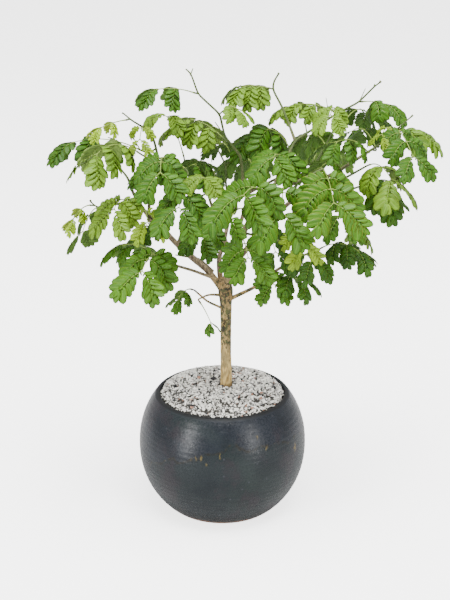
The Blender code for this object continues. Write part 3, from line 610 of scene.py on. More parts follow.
def frond_frame(line, t):
    # Direction of a frond's rib and the direction across it.
    start, bend, tip, level = line
    along = curve_tangent(start, bend, tip, t)
    flat = np.array((along[0], along[1], 0.0)) + SIDE_TWIST_EASE * level
    side = np.cross(flat, UP)
    return along, unit(side - along * np.dot(side, along))


def side_leaves(index, frond, line, roll_change):
    # Every side leaf: hand, root, heading, length, first and last lean, tilt, half width,
    # how fast its inner leaflets may widen and the lobes of its solid.
    pairs, longest, roll = frond[4:7]
    found = []
    for pair in range(pairs):
        at_end = pair == pairs - 1
        at = LAST_PAIR_AT
        if pairs > 1:
            at = FIRST_PAIR_AT[pairs] + (LAST_PAIR_AT - FIRST_PAIR_AT[pairs]) * pair / (pairs - 1)
        along, side = frond_frame(line, at)
        centre = curve_point(*line[:3], at)
        for hand in (-1.0, 1.0):
            salt = 10.0 + pair * 2.0 + hand
            ahead = math.radians(FORWARD_ANGLE[pairs][pair] + ANGLE_SPREAD * wave(index, salt))
            heading = side * hand * math.cos(ahead) + along * math.sin(ahead)
            span = longest * LENGTH_SHARE[pairs][pair]
            span *= 1.0 + LENGTH_SPREAD * wave(index, salt + 20.0)
            slope = math.degrees(math.asin(max(-1.0, min(1.0, heading[2]))))
            hang = (END_HANG if at_end else HANG) + HANG_SPREAD * wave(index, salt + 40.0)
            tilt = math.radians((roll + roll_change) * (END_ROLL_SHARE if at_end else 1.0))
            half = max(BLADE_HALF_LEAST, min(BLADE_HALF_MOST, BLADE_HALF * longest))
            inner = INNER_REACH_SHARE / math.tan(ahead) if at_end else NO_INNER_LIMIT
            few = longest < SHORT_SIDE_LEAF or (pairs == 3 and pair == 0)
            found.append(dict(hand=hand, root=centre + side * hand * STALK_HALF,
                              heading=heading, span=span, first=START_RISE + slope, last=-hang,
                              tilt=tilt, half=half, inner=inner, lobes=1 if few else 2))
    return found


def lie_of(way, across, hand, tilt):
    # Width direction and upper side of a blade that runs along the way.
    level = np.cross(way, across) * hand
    wide = across * math.cos(tilt) + level * math.sin(tilt)
    return wide, np.cross(way, wide) * hand


def settled_frond(index, frond, start):
    # Line and side leaves of a frond, swung so that every side leaf ends at a corner of
    # the frond's solid.
    solid = frame["nodes"]["frond_" + frond[0]].data
    corners = np.array([vert.co[:] for vert in solid.vertices]) / MM
    best = None
    for attempt in range(SWINGS):
        shift, roll_change = swing(attempt)
        line = frond_line(frond, start, shift)
        leaves = side_leaves(index, frond, line, roll_change)
        ends = [side_rib(leaf, leaf["lobes"])[0][-1] for leaf in leaves]
        gaps = [np.linalg.norm(corners - end, axis=1).min() for end in ends]
        miss = max(abs(gap - 0.5 * BLADE) for gap in gaps)
        if best is None or miss < best[0]:
            best = (miss, line, leaves)
        if miss < SAME_PLACE:
            break
    return best[1:]


def share_between(value, low, high):
    return min(1.0, max(0.0, (value - low) / (high - low)))


def tapered(start, end, count):
    return [start + (end - start) * i / (count - 1) for i in range(count)]


def lumps(place, layers):
    # Roughness at a place: each layer is its fineness and its height.
    return sum(noise.noise(place * fineness) * height for fineness, height in layers)


def put_object(name, mesh, look=None):
    made = bpy.data.objects.new(name, mesh)
    bpy.context.scene.collection.objects.link(made)
    if look is not None:
        mesh.materials.clear()
        mesh.materials.append(look)
    return made


def mesh_of(work, name):
    mesh = bpy.data.meshes.new(name)
    work.to_mesh(mesh)
    work.free()
    return mesh


def settled_mesh(source, merge=WELD):
    # The mesh of an object with its modifiers or its curve bevel worked out. The object goes.
    graph = bpy.context.evaluated_depsgraph_get()
    mesh = bpy.data.meshes.new_from_object(source.evaluated_get(graph))
    work = bmesh.new()
    work.from_mesh(mesh)
    bmesh.ops.remove_doubles(work, verts=work.verts, dist=merge)
    bmesh.ops.recalc_face_normals(work, faces=work.faces)
    work.to_mesh(mesh)
    work.free()
    bpy.data.batch_remove((source, source.data))
    return mesh


def tube_mesh(lines, resolution):
    # Closed round bars: each line is its points and its radii.
    curve = bpy.data.curves.new("bars", "CURVE")
    curve.dimensions = "3D"
    curve.bevel_depth = MM
    curve.bevel_resolution = resolution
    curve.use_fill_caps = True
    for points, radii in lines:
        path = curve.splines.new("POLY")
        path.points.add(len(points) - 1)
        for knot, point, radius in zip(path.points, points, radii):
            knot.co = (point[0] * MM, point[1] * MM, point[2] * MM, 1.0)
            knot.radius = radius
    return settled_mesh(put_object("bars", curve), FINE_WELD)


def turned(profile, turns):
    # Solid of revolution; the profile runs from the axis round to the axis.
    work = bmesh.new()
    points = [work.verts.new((r * MM, 0.0, z * MM)) for r, z in profile]
    for first, second in zip(points, points[1:]):
        work.edges.new((first, second))
    shape = put_object("outline", mesh_of(work, "outline"))
    screw = shape.modifiers.new("turn", "SCREW")
    screw.axis = "Z"
    screw.angle = math.tau
    screw.steps = turns
    screw.render_steps = turns
    screw.use_merge_vertices = True
    screw.merge_threshold = WELD
    return settled_mesh(shape)


def combined(base, parts, operation, solver):
    # The mesh of a base with the parts joined to it or cut from it.
    group = bpy.data.collections.new("parts")
    bpy.context.scene.collection.children.link(group)
    for part in parts:
        group.objects.link(bpy.data.objects.new("part", part))
    body = put_object("body", base)
    change = body.modifiers.new("combine", "BOOLEAN")
    change.operation = operation
    change.operand_type = "COLLECTION"
    change.collection = group
    change.solver = solver
    mesh = settled_mesh(body)
    bpy.data.batch_remove([*group.objects, *parts, group])
    return mesh


def finish_piece(piece, node, smooth=True):
    for face in piece.data.polygons:
        face.use_smooth = smooth
    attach(piece, "root")
    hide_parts(node)


# Materials

class Nodes:
    # Short way to write a node tree.
    def __init__(self, tree):
        self.tree = tree

    def add(self, kind, *values, **settings):
        made = self.tree.nodes.new("ShaderNode" + kind)
        for key, value in settings.items():
            setattr(made, key, value)
        for place, value in enumerate(values):
            self.put(made.inputs[place], value)
        return made

    def put(self, socket, value):
        # A link from another node, a number, a vector or a colour without its alpha.
        if isinstance(value, bpy.types.NodeSocket):
            self.tree.links.new(value, socket)
        elif socket.type == "RGBA":
            socket.default_value = (*value, 1.0)
        else:
            socket.default_value = value

    def place(self, *stretch):
        # Object coordinates in millimetres, stretched per axis.
        scale = [s / MM for s in stretch or (1.0, 1.0, 1.0)]
        place = self.add("TexCoord").outputs["Object"]
        return self.add("VectorMath", place, scale, operation="MULTIPLY").outputs[0]

    def parts(self, vector):
        return self.add("SeparateXYZ", vector).outputs

    def maths(self, operation, first, *others):
        for other in others:
            first = self.add("Math", first, other, operation=operation).outputs[0]
        return first

    def single(self, operation, value):
        return self.add("Math", value, operation=operation).outputs[0]

    def plus(self, *values):
        return self.maths("ADD", *values)

    def minus(self, first, second):
        return self.maths("SUBTRACT", first, second)

    def times(self, *values):
        return self.maths("MULTIPLY", *values)

    def most(self, *values):
        return self.maths("MAXIMUM", *values)

    def noise(self, place, size, detail=2.0, rough=0.5):
        made = self.add("TexNoise")
        values = (("Vector", place), ("Scale", size), ("Detail", detail), ("Roughness", rough))
        for key, value in values:
            self.put(made.inputs[key], value)
        return made.outputs[0]

    def cells(self, place, size, output="Distance"):
        made = self.add("TexVoronoi")
        self.put(made.inputs["Vector"], place)
        self.put(made.inputs["Scale"], size)
        return made.outputs[output]

    def step(self, value, low, high, to_low=0.0, to_high=1.0):
        made = self.add("MapRange", value, low, high, to_low, to_high,
                        interpolation_type="SMOOTHSTEP")
        return made.outputs[0]

    def mix(self, factor, a, b, blend="MIX"):
        made = self.add("Mix", data_type="RGBA", blend_type=blend, clamp_factor=True)
        self.put(made.inputs["Factor"], factor)
        self.put(made.inputs[6], a)
        self.put(made.inputs[7], b)
        return made.outputs[2]

    def laid(self, under, colour, *shares):
        # A colour laid over what is there, as far as all its shares let it.
        return self.mix(self.times(*shares), under, colour)

    def attribute(self, name):
        return self.add("Attribute", attribute_name=name).outputs["Fac"]


def new_look(name):
    look = bpy.data.materials.new(name)
    look.use_nodes = True
    return look, Nodes(look.node_tree), look.node_tree.nodes["Principled BSDF"]


def finish_look(nodes, shader, colour, rough, relief, strength, depth, invert=False):
    # Colour, roughness and relief. The depth of the relief is in millimetres.
    bump = nodes.add("Bump", invert=invert)
    nodes.put(bump.inputs["Strength"], strength)
    nodes.put(bump.inputs["Distance"], depth * MM)
    nodes.put(bump.inputs["Height"], relief)
    nodes.put(shader.inputs["Base Color"], colour)
    nodes.put(shader.inputs["Roughness"], rough)
    nodes.put(shader.inputs["Normal"], bump.outputs[0])


def leaf_pattern():
    # Colour and relief of leaflets and stalks. U runs along a leaflet and V across it.
    tree = bpy.data.node_groups.new("leaf_pattern", "ShaderNodeTree")
    for key in ("Top", "Under", "Vein", "Edge", "Stalk"):
        tree.interface.new_socket(key, in_out="INPUT", socket_type="NodeSocketColor")
    tree.interface.new_socket("Colour", in_out="OUTPUT", socket_type="NodeSocketColor")
    for key in ("Under mask", "Relief"):
        tree.interface.new_socket(key, in_out="OUTPUT", socket_type="NodeSocketFloat")
    nodes = Nodes(tree)
    given = tree.nodes.new("NodeGroupInput").outputs
    result = tree.nodes.new("NodeGroupOutput").inputs
    u, v = nodes.parts(nodes.add("UVMap", uv_map="leaf_uv").outputs[0])[:2]
    under = nodes.maths("GREATER_THAN", u, 1.001)
    along = nodes.minus(u, under)
    across = nodes.single("ABSOLUTE", nodes.minus(nodes.times(v, 2.0), 1.0))
    shade = nodes.attribute("shade")
    # Side veins run forward from the midrib.
    run = nodes.minus(along, nodes.times(across, VEIN_SLANT))
    comb = nodes.single("SINE", nodes.times(run, VEIN_PACE))
    comb = nodes.times(nodes.step(comb, 0.55, 1.0), nodes.step(across, 1.0, 0.5))
    rib = nodes.step(across, 0.13, 0.03)
    face = nodes.mix(under, given["Top"], given["Under"])
    body = nodes.noise(nodes.place(), 0.22)
    fine = nodes.noise(nodes.place(), 1.1)
    light = nodes.plus(nodes.times(shade, 0.34), nodes.step(body, 0.3, 0.7, 0.86, 1.14),
                       nodes.step(fine, 0.3, 0.7, -0.05, 0.05))
    tone = nodes.add("HueSaturation")
    nodes.put(tone.inputs["Color"], face)
    nodes.put(tone.inputs["Value"], light)
    nodes.put(tone.inputs["Hue"], nodes.plus(nodes.times(shade, -0.008), 0.5))
    veins = nodes.most(nodes.times(rib, 0.55), nodes.times(comb, 0.10))
    border = nodes.most(nodes.step(across, 0.82, 1.0), nodes.step(along, 0.93, 1.0))
    colour = nodes.laid(tone.outputs[0], given["Vein"], veins)
    colour = nodes.laid(colour, given["Edge"], border, nodes.attribute("edge"))
    colour = nodes.laid(colour, given["Stalk"], nodes.attribute("stalk"))
    nodes.put(result["Colour"], colour)
    nodes.put(result["Under mask"], under)
    nodes.put(result["Relief"], nodes.plus(nodes.times(rib, -0.6), nodes.times(comb, -0.25)))
    return tree


def leaf_look(key, pattern):
    look, nodes, shader = new_look("leaf_" + key)
    made = nodes.add("Group")
    made.node_tree = pattern
    colours = (*LEAF_COLOURS[key], LEAF_MARGIN, LEAF_STALK)
    for name, colour in zip(("Top", "Under", "Vein", "Edge", "Stalk"), colours):
        nodes.put(made.inputs[name], colour)
    rough = nodes.step(made.outputs["Under mask"], 0.0, 1.0, 0.48, 0.65)
    finish_look(nodes, shader, made.outputs["Colour"], rough, made.outputs["Relief"], 0.35, 0.3)
    nodes.put(shader.inputs["Specular IOR Level"], 0.22)
    return look


def bark_look():
    look, nodes, shader = new_look("bark")
    place = nodes.place()
    height = nodes.parts(place)[2]
    grain = nodes.noise(nodes.place(1.0, 1.0, 0.2), 0.8, 4.0, 0.6)
    broad = nodes.noise(place, 0.11, 3.0)
    colour = nodes.mix(nodes.step(grain, 0.36, 0.62), *BARK_TAN)
    colour = nodes.laid(colour, BARK_BROAD, nodes.step(broad, 0.42, 0.60, 0.0, 0.7))
    # Higher up the bark turns grey-brown, and brown at the fork.
    grey = nodes.mix(nodes.step(grain, 0.36, 0.64), *BARK_GREY)
    colour = nodes.laid(colour, grey, nodes.step(height, *LIMBS_START))
    colour = nodes.laid(colour, BARK_FORK, nodes.step(height, *FORK_START),
                        nodes.step(height, *FORK_END), 0.5)
    # Dirt from the grit stains the foot.
    colour = nodes.laid(colour, BARK_DIRT, nodes.step(height, *DIRT_END),
                        nodes.step(broad, 0.35, 0.55, 0.3, 1.0), 0.7)
    # Moss: black and dark green patches, dense on the upper trunk.
    ragged = nodes.noise(nodes.place(1.0, 1.0, 0.65), 0.34, 5.0, 0.74)
    zone = nodes.times(nodes.step(height, *MOSS_START, 0.0, 0.150),
                       nodes.step(height, *MOSS_END))
    moss = nodes.times(nodes.step(nodes.plus(ragged, zone), 0.605, 0.650),
                       nodes.step(height, *MOSS_FADE, 0.25, 1.0))
    green = nodes.mix(nodes.step(nodes.noise(place, 0.30), 0.4, 0.6), *MOSS)
    colour = nodes.laid(colour, green, moss, 0.92)
    # Young twigs are green.
    fresh = nodes.mix(nodes.noise(place, 0.12, 1.0), *YOUNG_BARK)
    colour = nodes.laid(colour, fresh, nodes.attribute("youth"))
    finish_look(nodes, shader, colour, 0.8, nodes.plus(grain, nodes.times(moss, 0.5)), 0.6, 0.8)
    return look


def drip_line(nodes, x):
    # Height of the wavy drip line: highest a little right of the front.
    off = nodes.minus(x, DRIP_TOP_X)
    sway = nodes.noise(nodes.place(1.0, 1.0, 0.0), 0.055)
    return nodes.plus(nodes.times(off, off, -DRIP_BEND), DRIP_TOP_Z,
                      nodes.step(sway, 0.2, 0.8, -DRIP_SWAY, DRIP_SWAY))


def ochre_runs(nodes, place, x, z):
    sway = nodes.step(nodes.noise(place, 0.45), 0.2, 0.8, -1.0, 1.0)
    swayed = nodes.plus(x, sway)
    runs = []
    for at, top, length in OCHRE_RUNS:
        low = top - length
        off = nodes.single("ABSOLUTE", nodes.minus(swayed, at))
        runs.append(nodes.times(nodes.step(off, 0.95, 0.1), nodes.step(z, top + 1.0, top - 1.0),
                                nodes.step(z, low - 1.4, low + 1.4)))
    return nodes.most(*runs)


def glaze_look():
    look, nodes, shader = new_look("pot_glaze")
    place = nodes.place()
    x, y, z = nodes.parts(place)
    over = nodes.minus(z, drip_line(nodes, x))
    mottle = nodes.step(nodes.noise(place, 0.05, 3.0, 0.6), 0.35, 0.65)
    peel = nodes.noise(place, 0.55, 3.0, 0.6)
    cloud = nodes.noise(place, 0.018)
    rings = nodes.noise(nodes.place(0.05, 0.05, 1.0), 0.8, 3.0, 0.65)
    fine = nodes.noise(nodes.place(0.08, 0.08, 1.6), 1.4, 2.0, 0.6)
    blotch = nodes.noise(nodes.place(1.0, 1.0, 0.8), 0.030, 4.0, 0.65)
    colour = nodes.mix(nodes.step(over, *UPPER_GLAZE), nodes.mix(mottle, *GLAZE_BELOW),
                       nodes.mix(mottle, *GLAZE_ABOVE))
    colour = nodes.laid(colour, GLAZE_CLOUD, nodes.step(cloud, 0.5, 0.75, 0.0, 0.5))
    colour = nodes.laid(colour, GLAZE_VIOLET, nodes.step(blotch, 0.52, 0.66, 0.0, 0.65))
    colour = nodes.laid(colour, GLAZE_RING, nodes.step(rings, 0.52, 0.8, 0.0, 0.3))
    band = nodes.times(nodes.step(over, *BAND_BELOW), nodes.step(over, *BAND_ABOVE))
    ragged = nodes.step(nodes.noise(nodes.place(1.0, 1.0, 0.4), 0.16, 3.0), 0.42, 0.56)
    colour = nodes.laid(colour, GLAZE_LINE, band, ragged, 0.8)
    specks = nodes.step(nodes.cells(place, 0.11), 0.12, 0.06, 0.0, 0.5)
    colour = nodes.laid(colour, GLAZE_SPECK, specks)
    # Short ochre runs below the drip line at the front, and ochre dust along it.
    runs = nodes.times(ochre_runs(nodes, place, x, z), nodes.step(y, *FRONT_SIDE))
    colour = nodes.laid(colour, OCHRE, runs, 0.7)
    dust = nodes.step(nodes.noise(place, 0.5), 0.55, 0.75)
    colour = nodes.laid(colour, OCHRE_DUST, band, dust, 0.25)
    # The glaze is thin and almost black along the rim.
    colour = nodes.laid(colour, GLAZE_RIM, nodes.step(z, *BLACK_RIM, 0.0, 0.85))
    # Bare clay at the foot.
    sway = nodes.step(nodes.noise(place, 0.08, 3.0), 0.2, 0.8, -CLAY_SWAY, CLAY_SWAY)
    clay = nodes.step(nodes.plus(z, sway), *CLAY_TOP)
    colour = nodes.laid(colour, nodes.mix(nodes.noise(place, 0.4, 3.0), *CLAY), clay)
    rough = nodes.most(nodes.step(peel, 0.3, 0.7, 0.22, 0.35),
                       nodes.step(z, *MATT_RIM, 0.0, 0.55), nodes.times(clay, 0.85))
    relief = nodes.plus(nodes.times(rings, 0.5), nodes.times(fine, 0.40), nodes.times(peel, 0.8))
    finish_look(nodes, shader, colour, rough, relief, 0.35, 0.6)
    nodes.put(shader.inputs["Specular IOR Level"], 0.30)
    return look


def grit_look():
    look, nodes, shader = new_look("granite_grit")
    place = nodes.place()
    ramp = nodes.add("ValToRGB", nodes.attribute("tone"))
    ramp.color_ramp.interpolation = "CONSTANT"
    elements = ramp.color_ramp.elements
    while len(elements) < len(GRIT_TONES):
        elements.new(1.0)
    for element, (at, colour) in zip(elements, GRIT_TONES):
        element.position = at
        element.color = (*colour, 1.0)
    dark = nodes.step(nodes.cells(place, 1.5), 0.30, 0.18)
    patch = nodes.step(nodes.noise(place, 0.5), 0.40, 0.52)
    cloud = nodes.noise(place, 1.2, 3.0)
    colour = nodes.laid(ramp.outputs[0], GRIT_SPECK, dark, patch, 0.85)
    colour = nodes.mix(nodes.step(cloud, 0.35, 0.7, 0.0, 0.25), colour, GRIT_CLOUD, "MULTIPLY")
    finish_look(nodes, shader, colour, 0.75, cloud, 0.4, 0.3)
    return look


def bed_look():
    look, nodes, shader = new_look("grit_bed")
    place = nodes.place()
    grains = nodes.cells(place, 0.9)
    light = nodes.parts(nodes.cells(place, 0.9, "Color"))[0]
    # Each grain takes a tone between the dark grain colours, which also serve as painted shade
    # between the chips. The borders between grains get painted shade.
    colour = nodes.laid(nodes.mix(light, *BED_GRAINS_AND_SHADE), BED_GAP_SHADE, nodes.step(grains, 0.35, 0.6))
    finish_look(nodes, shader, colour, 0.95, grains, 0.8, 0.8, invert=True)
    return look


def soil_look():
    look, nodes, shader = new_look("soil_mix")
    place = nodes.place()
    crumbs = nodes.cells(place, 0.5)
    colour = nodes.mix(nodes.noise(place, 0.8, 4.0), *SOIL)
    # The borders between crumbs are darkened as painted shade.
    colour = nodes.laid(colour, SOIL_GAP_SHADE, nodes.step(crumbs, 0.2, 0.6))
    finish_look(nodes, shader, colour, 0.95, crumbs, 1.0, 1.0, invert=True)
    return look


# Pot

def outer_radius(z):
    share = abs((z - POT_MIDDLE_Z) / POT_RADIUS)
    return POT_RADIUS * (1.0 - share ** POT_ROUNDNESS) ** (1.0 / POT_ROUNDNESS)


def ring_ripple(z):
    return RING_DEPTH * sum(math.sin(z * pace + shift) * part for pace, shift, part in RING_WAVES)


def pot_profile():
    inner_wall = [(outer_radius(z) - POT_WALL, z) for z in INNER_WALL_HEIGHTS]
    outer_wall = []
    for step in range(OUTER_WALL_STEPS + 1):
        z = OUTER_WALL_TOP + (OUTER_WALL_END - OUTER_WALL_TOP) * step / OUTER_WALL_STEPS
        outer_wall.append((outer_radius(z) + ring_ripple(z), z))
    foot = [(outer_radius(FOOT_TURN_Z) - FOOT_TURN_IN, FOOT_TURN_Z - FOOT_TURN_DROP),
            (POT_FOOT_RADIUS + FOOT_ROUND, FOOT_EDGE_Z), (POT_FOOT_RADIUS - FOOT_ROUND, 0.0),
            (FOOT_INNER_RADIUS, 0.0), (0.0, 0.0)]
    return [*INNER_FLOOR, *inner_wall, *NECK, *RIM, *outer_wall, *foot]


def make_pot():
    drains = []
    for index in range(DRAIN_HOLES):
        turn = math.tau * index / DRAIN_HOLES + DRAIN_TURN
        place = Vector((math.cos(turn) * DRAIN_RING_RADIUS, math.sin(turn) * DRAIN_RING_RADIUS,
                        POT_FLOOR / 2)) * MM
        work = bmesh.new()
        bmesh.ops.create_cone(work, cap_ends=True, segments=DRAIN_SIDES,
                              radius1=DRAIN_HOLE_RADIUS * MM, radius2=DRAIN_HOLE_RADIUS * MM,
                              depth=DRAIN_TOOL_LENGTH * MM, matrix=Matrix.Translation(place))
        drains.append(mesh_of(work, "drain"))
    mesh = combined(turned(pot_profile(), POT_TURNS), drains, "DIFFERENCE", "EXACT")
    finish_piece(put_object("pot_glazed", mesh, glaze_look()), "pot")


# Grit

def bed_height(radius):
    share = min(1.0, radius / BED_EDGE_RADIUS)
    return BED_CROWN_Z - (BED_CROWN_Z - BED_EDGE_Z) * share ** BED_DOMING


def edge_drop(x, y):
    # The grit lies a little below the rim at the right and at the back.
    out = share_between(math.hypot(x, y), *DROP_RADII)
    side = share_between(DROP_SLANT * x + y, *DROP_SIDE)
    return EDGE_DROP * out * side


def make_bed():
    radii = tapered(0.0, BED_EDGE_RADIUS, BED_TOP_STEPS + 1)
    profile = [(radius, bed_height(radius) - BED_SINK) for radius in radii]
    mesh = turned([*profile, *BED_UNDERSIDE], BED_TURNS)
    for vert in mesh.vertices:
        if vert.co.z > BED_TOP_ABOVE * MM:
            drop = edge_drop(vert.co.x / MM, vert.co.y / MM)
            vert.co.z += (lumps(vert.co, BED_LUMPS) - drop) * MM
    finish_piece(put_object("grit_bed", mesh, bed_look()), "gravel")


def chip_shapes(rng):
    # Broken angular chips, each the hull of a few scattered points.
    shapes = []
    for shape in range(CHIP_SHAPES):
        work = bmesh.new()
        for corner in range(CHIP_CORNERS):
            point = Vector((rng.gauss(0, 1), rng.gauss(0, 1), rng.gauss(0, 1))).normalized()
            work.verts.new([along * size for along, size in zip(point, CHIP_FORM)])
        bmesh.ops.convex_hull(work, input=work.verts)
        bmesh.ops.delete(work, geom=[v for v in work.verts if not v.link_faces], context="VERTS")
        bmesh.ops.recalc_face_normals(work, faces=work.faces)
        shapes.append(mesh_of(work, "chip_shape"))
    return shapes


def chip_spots(rng):
    # Place and half length of every loose chip: all over the bed, then along its edge.
    spots = []
    while len(spots) < CHIPS:
        radius = math.sqrt(rng.random()) * (BED_EDGE_RADIUS - CHIP_INSET)
        turn = rng.random() * math.tau
        size = CHIP_LEAST + CHIP_MORE * rng.random() ** CHIP_SPREAD
        radius = min(radius, BED_EDGE_RADIUS - 0.5 * size)
        x, y = radius * math.cos(turn), radius * math.sin(turn)
        if math.hypot(x - TRUNK_X, y) >= TRUNK_FOOT + size * CHIP_ROOM:
            spots.append((x, y, size))
    for extra in range(EDGE_CHIPS):
        radius = BED_EDGE_RADIUS - EDGE_CHIP_INSET - EDGE_CHIP_BAND * rng.random()
        turn = math.tau * (extra + rng.random()) / EDGE_CHIPS
        size = EDGE_CHIP_LEAST + EDGE_CHIP_MORE * rng.random()
        spots.append((radius * math.cos(turn), radius * math.sin(turn), size))
    return spots


def spun(a, b, turn):
    # Two coordinates turned round the third axis.
    return a * math.cos(turn) - b * math.sin(turn), a * math.sin(turn) + b * math.cos(turn)


def make_chips():
    rng = random.Random(CHIP_SEED)
    shapes = chip_shapes(rng)
    spots = chip_spots(rng)
    loose = len(spots)
    spots += [chip[:3] for chip in MARKED_CHIPS]
    work = bmesh.new()
    layer = work.verts.layers.float.new("tone")
    for order, (x, y, size) in enumerate(spots):
        level = bed_height(math.hypot(x, y)) - edge_drop(x, y)
        level += CHIP_LAYER * (order / loose - 1.0)
        count = len(work.verts)
        work.from_mesh(shapes[rng.randrange(CHIP_SHAPES)])
        work.verts.ensure_lookup_table()
        tone = CHIP_TONES * rng.random()
        turn = rng.random() * math.tau
        tip_one = (rng.random() - 0.5) * CHIP_TIP
        tip_two = (rng.random() - 0.5) * CHIP_TIP
        if order >= loose:
            level += MARKED_RISE
            tone = MARKED_CHIPS[order - loose][3]
            tip_one *= MARKED_TIP_SHARE
            tip_two *= MARKED_TIP_SHARE
        for vert in work.verts[count:]:
            px, py, pz = vert.co
            py, pz = spun(py, pz, tip_one)
            px, pz = spun(px, pz, -tip_two)
            px, py = spun(px, py, turn)
            vert.co = ((x + px * size) * MM, (y + py * size) * MM, (level + pz * size) * MM)
            vert[layer] = tone
    bpy.data.batch_remove(shapes)
    chips = put_object("grit_chips", mesh_of(work, "grit_chips"), grit_look())
    finish_piece(chips, "gravel", smooth=False)


# Wood

def resampled(points, sizes, step):
    # Places and radii every few millimetres along a line, with its corners eased.
    lists = [np.array(row) for row in zip(*spaced(points, sizes, step))]
    for easing in range(CORNER_EASINGS):
        for row in lists:
            row[1:-1] = 0.25 * row[:-2] + 0.5 * row[1:-1] + 0.25 * row[2:]
    return lists


def limb_line(index, limb):
    # Points and radii of a limb: it flares where it starts and is a little knotty.
    start, end, points = limb
    place, size = resampled(points, tapered(start, end, len(points)), LIMB_STEP)
    run = np.arange(len(size)) * LIMB_STEP
    knots = [1.0 + KNOT_SWELL * max(0.0, wave(index, 3.0 + i // KNOT_EVERY))
             for i in range(len(size))]
    return place, size * (1.0 + LIMB_FLARE * np.exp(-run / LIMB_FLARE_LENGTH)) * knots


def twig_line(root, start, heading, limb_radius, wood):
    # Points and radii of the twig that carries a frond.
    length = np.linalg.norm(start - root)
    near = wood[np.argmin(np.linalg.norm(wood - root, axis=1))]
    points = [near, start - heading * length * TWIG_TURN, start]
    if length < limb_radius + STUB_LENGTH + TWIG_STRAIGHT:
        points = [near, start]
    thick = min(limb_radius * TWIG_ROOT_SHARE, TWIG_TIP_RADIUS + TWIG_GROWTH * length)
    place, size = resampled(points, tapered(thick, TWIG_TIP_RADIUS, len(points)), LIMB_STEP)
    size[-1] *= TWIG_END_SWELL
    return place, size


def rough_bark(mesh, bars):
    # Marks how young the wood is, from how thin the nearest bar is, and roughens the old wood.
    places = [place for bar in bars for place in bar[0]]
    sizes = [float(size) for bar in bars for size in bar[1]]
    tree = KDTree(len(places))
    for index, place in enumerate(places):
        tree.insert(Vector(place), index)
    tree.balance()
    work = bmesh.new()
    work.from_mesh(mesh)
    work.normal_update()
    layer = work.verts.layers.float.new("youth")
    for vert in work.verts:
        size = sizes[tree.find(vert.co / MM)[1]]
        vert[layer] = (share_between(size, *YOUNG_RADII)
                       * share_between(vert.co.z / MM, *YOUNG_HEIGHTS))
        if size > OLD_RADIUS:
            vert.co += vert.normal * lumps(vert.co, BARK_LUMPS) * size * MM
    work.to_mesh(mesh)
    work.free()


def make_wood(roots):
    trunk = resampled([p[:3] for p in TRUNK], [p[3] for p in TRUNK], TRUNK_STEP)
    limbs = [limb_line(index, limb) for index, limb in enumerate(LIMBS)]
    wood = np.vstack([limb[0] for limb in limbs])
    twigs = [twig_line(*root, wood) for root in roots]
    spikes = [(np.array(spike[:2]), np.array(spike[2:])) for spike in SPIKES]
    bars = limbs + twigs + spikes
    rounding = [THICK_ROUNDING if limb[0] > THICK_LIMB_RADIUS else THIN_ROUNDING
                for limb in LIMBS]
    rounding += [TWIG_ROUNDING] * (len(twigs) + len(spikes))
    parts = [tube_mesh([bar], finer) for bar, finer in zip(bars, rounding)]
    mesh = combined(tube_mesh([trunk], TRUNK_ROUNDING), parts, "UNION", "MANIFOLD")
    rough_bark(mesh, [trunk, *bars])
    finish_piece(put_object("bark_wood", mesh, bark_look()), "wood")


# Fronds

def leaflet_shape():
    # One leaflet in shape coordinates: x along it, y across it, z above or below.
    rows, columns = len(LEAF_ROWS) - 1, len(LEAF_COLUMNS) - 1
    work = bmesh.new()
    bmesh.ops.create_grid(work, x_segments=rows, y_segments=columns, size=0.5)
    uv = work.loops.layers.uv.new("leaf_uv")
    for vert in work.verts:
        row = int(round((vert.co.x + 0.5) * rows))
        column = int(round((vert.co.y + 0.5) * columns))
        vert.co = (LEAF_ROWS[row], LEAF_COLUMNS[column], 1.0)
    for face in work.faces:
        for loop in face.loops:
            loop[uv].uv = (min(loop.vert.co.x, TOP_U_END), 0.5 + 0.5 * loop.vert.co.y)
    made = bmesh.ops.duplicate(work, geom=work.verts[:] + work.edges[:] + work.faces[:])["geom"]
    low_faces = [g for g in made if isinstance(g, bmesh.types.BMFace)]
    for vert in made:
        if isinstance(vert, bmesh.types.BMVert):
            vert.co.z = -1.0
    for face in low_faces:
        for loop in face.loops:
            loop[uv].uv.x += UNDER_U
    bmesh.ops.reverse_faces(work, faces=low_faces)
    # The two faces meet at the tip, at the foot and along both sides.
    for vert in work.verts:
        x, y = vert.co.xy
        if x == 1.0:
            vert.co = (1.0, 0.0, 0.0)
        elif x == 0.0 or abs(y) == 1.0:
            vert.co = (x, y, 0.0)
    bmesh.ops.remove_doubles(work, verts=work.verts, dist=0.0001)
    mesh = mesh_of(work, "leaflet_shape")
    return mesh, np.array([v.co[:] for v in mesh.vertices])


def leaflet_half(u):
    # Half width of an egg-shaped leaflet, broadest past its middle.
    rise = np.sin(0.5 * np.pi * np.clip(u / 0.5, 0.0, 1.0)) ** 0.8
    past = np.clip(u - LEAFLET_SHOULDER, 0.0, 1.0) / (1.0 - LEAFLET_SHOULDER)
    fall = np.sqrt(np.clip(1.0 - past ** LEAFLET_TIP_POWER, 0.0, 1.0))
    return (LEAFLET_FOOT_SHARE + (1.0 - LEAFLET_FOOT_SHARE) * rise) * fall


def leaflet_points(coords, origin, way, side, face_up, length, wide, fold, sag, wobble):
    # Corners of one leaflet, from those of the leaflet shape.
    u, v, s = coords[:, 0], coords[:, 1], coords[:, 2]
    across = v * wide * leaflet_half(u)
    thick = LEAF_THICK * (1.0 - v * v) * np.sin(np.pi * np.clip(u, 0.05, 0.95))
    lift = fold * np.abs(across) - sag * length * u * u + s * thick
    lift = lift + wobble * np.sin(u * WOBBLE_PACE) * v * wide * WOBBLE
    return (origin + np.outer(u * length, way) + np.outer(across, side)
            + np.outer(lift, face_up))


def rib_place(points, ways, span, s):
    # Point and direction of a rib after a length along it.
    step = span / len(ways)
    index = min(len(ways) - 1, max(0, int(s / step)))
    return points[index] + ways[index] * (s - index * step), ways[index]


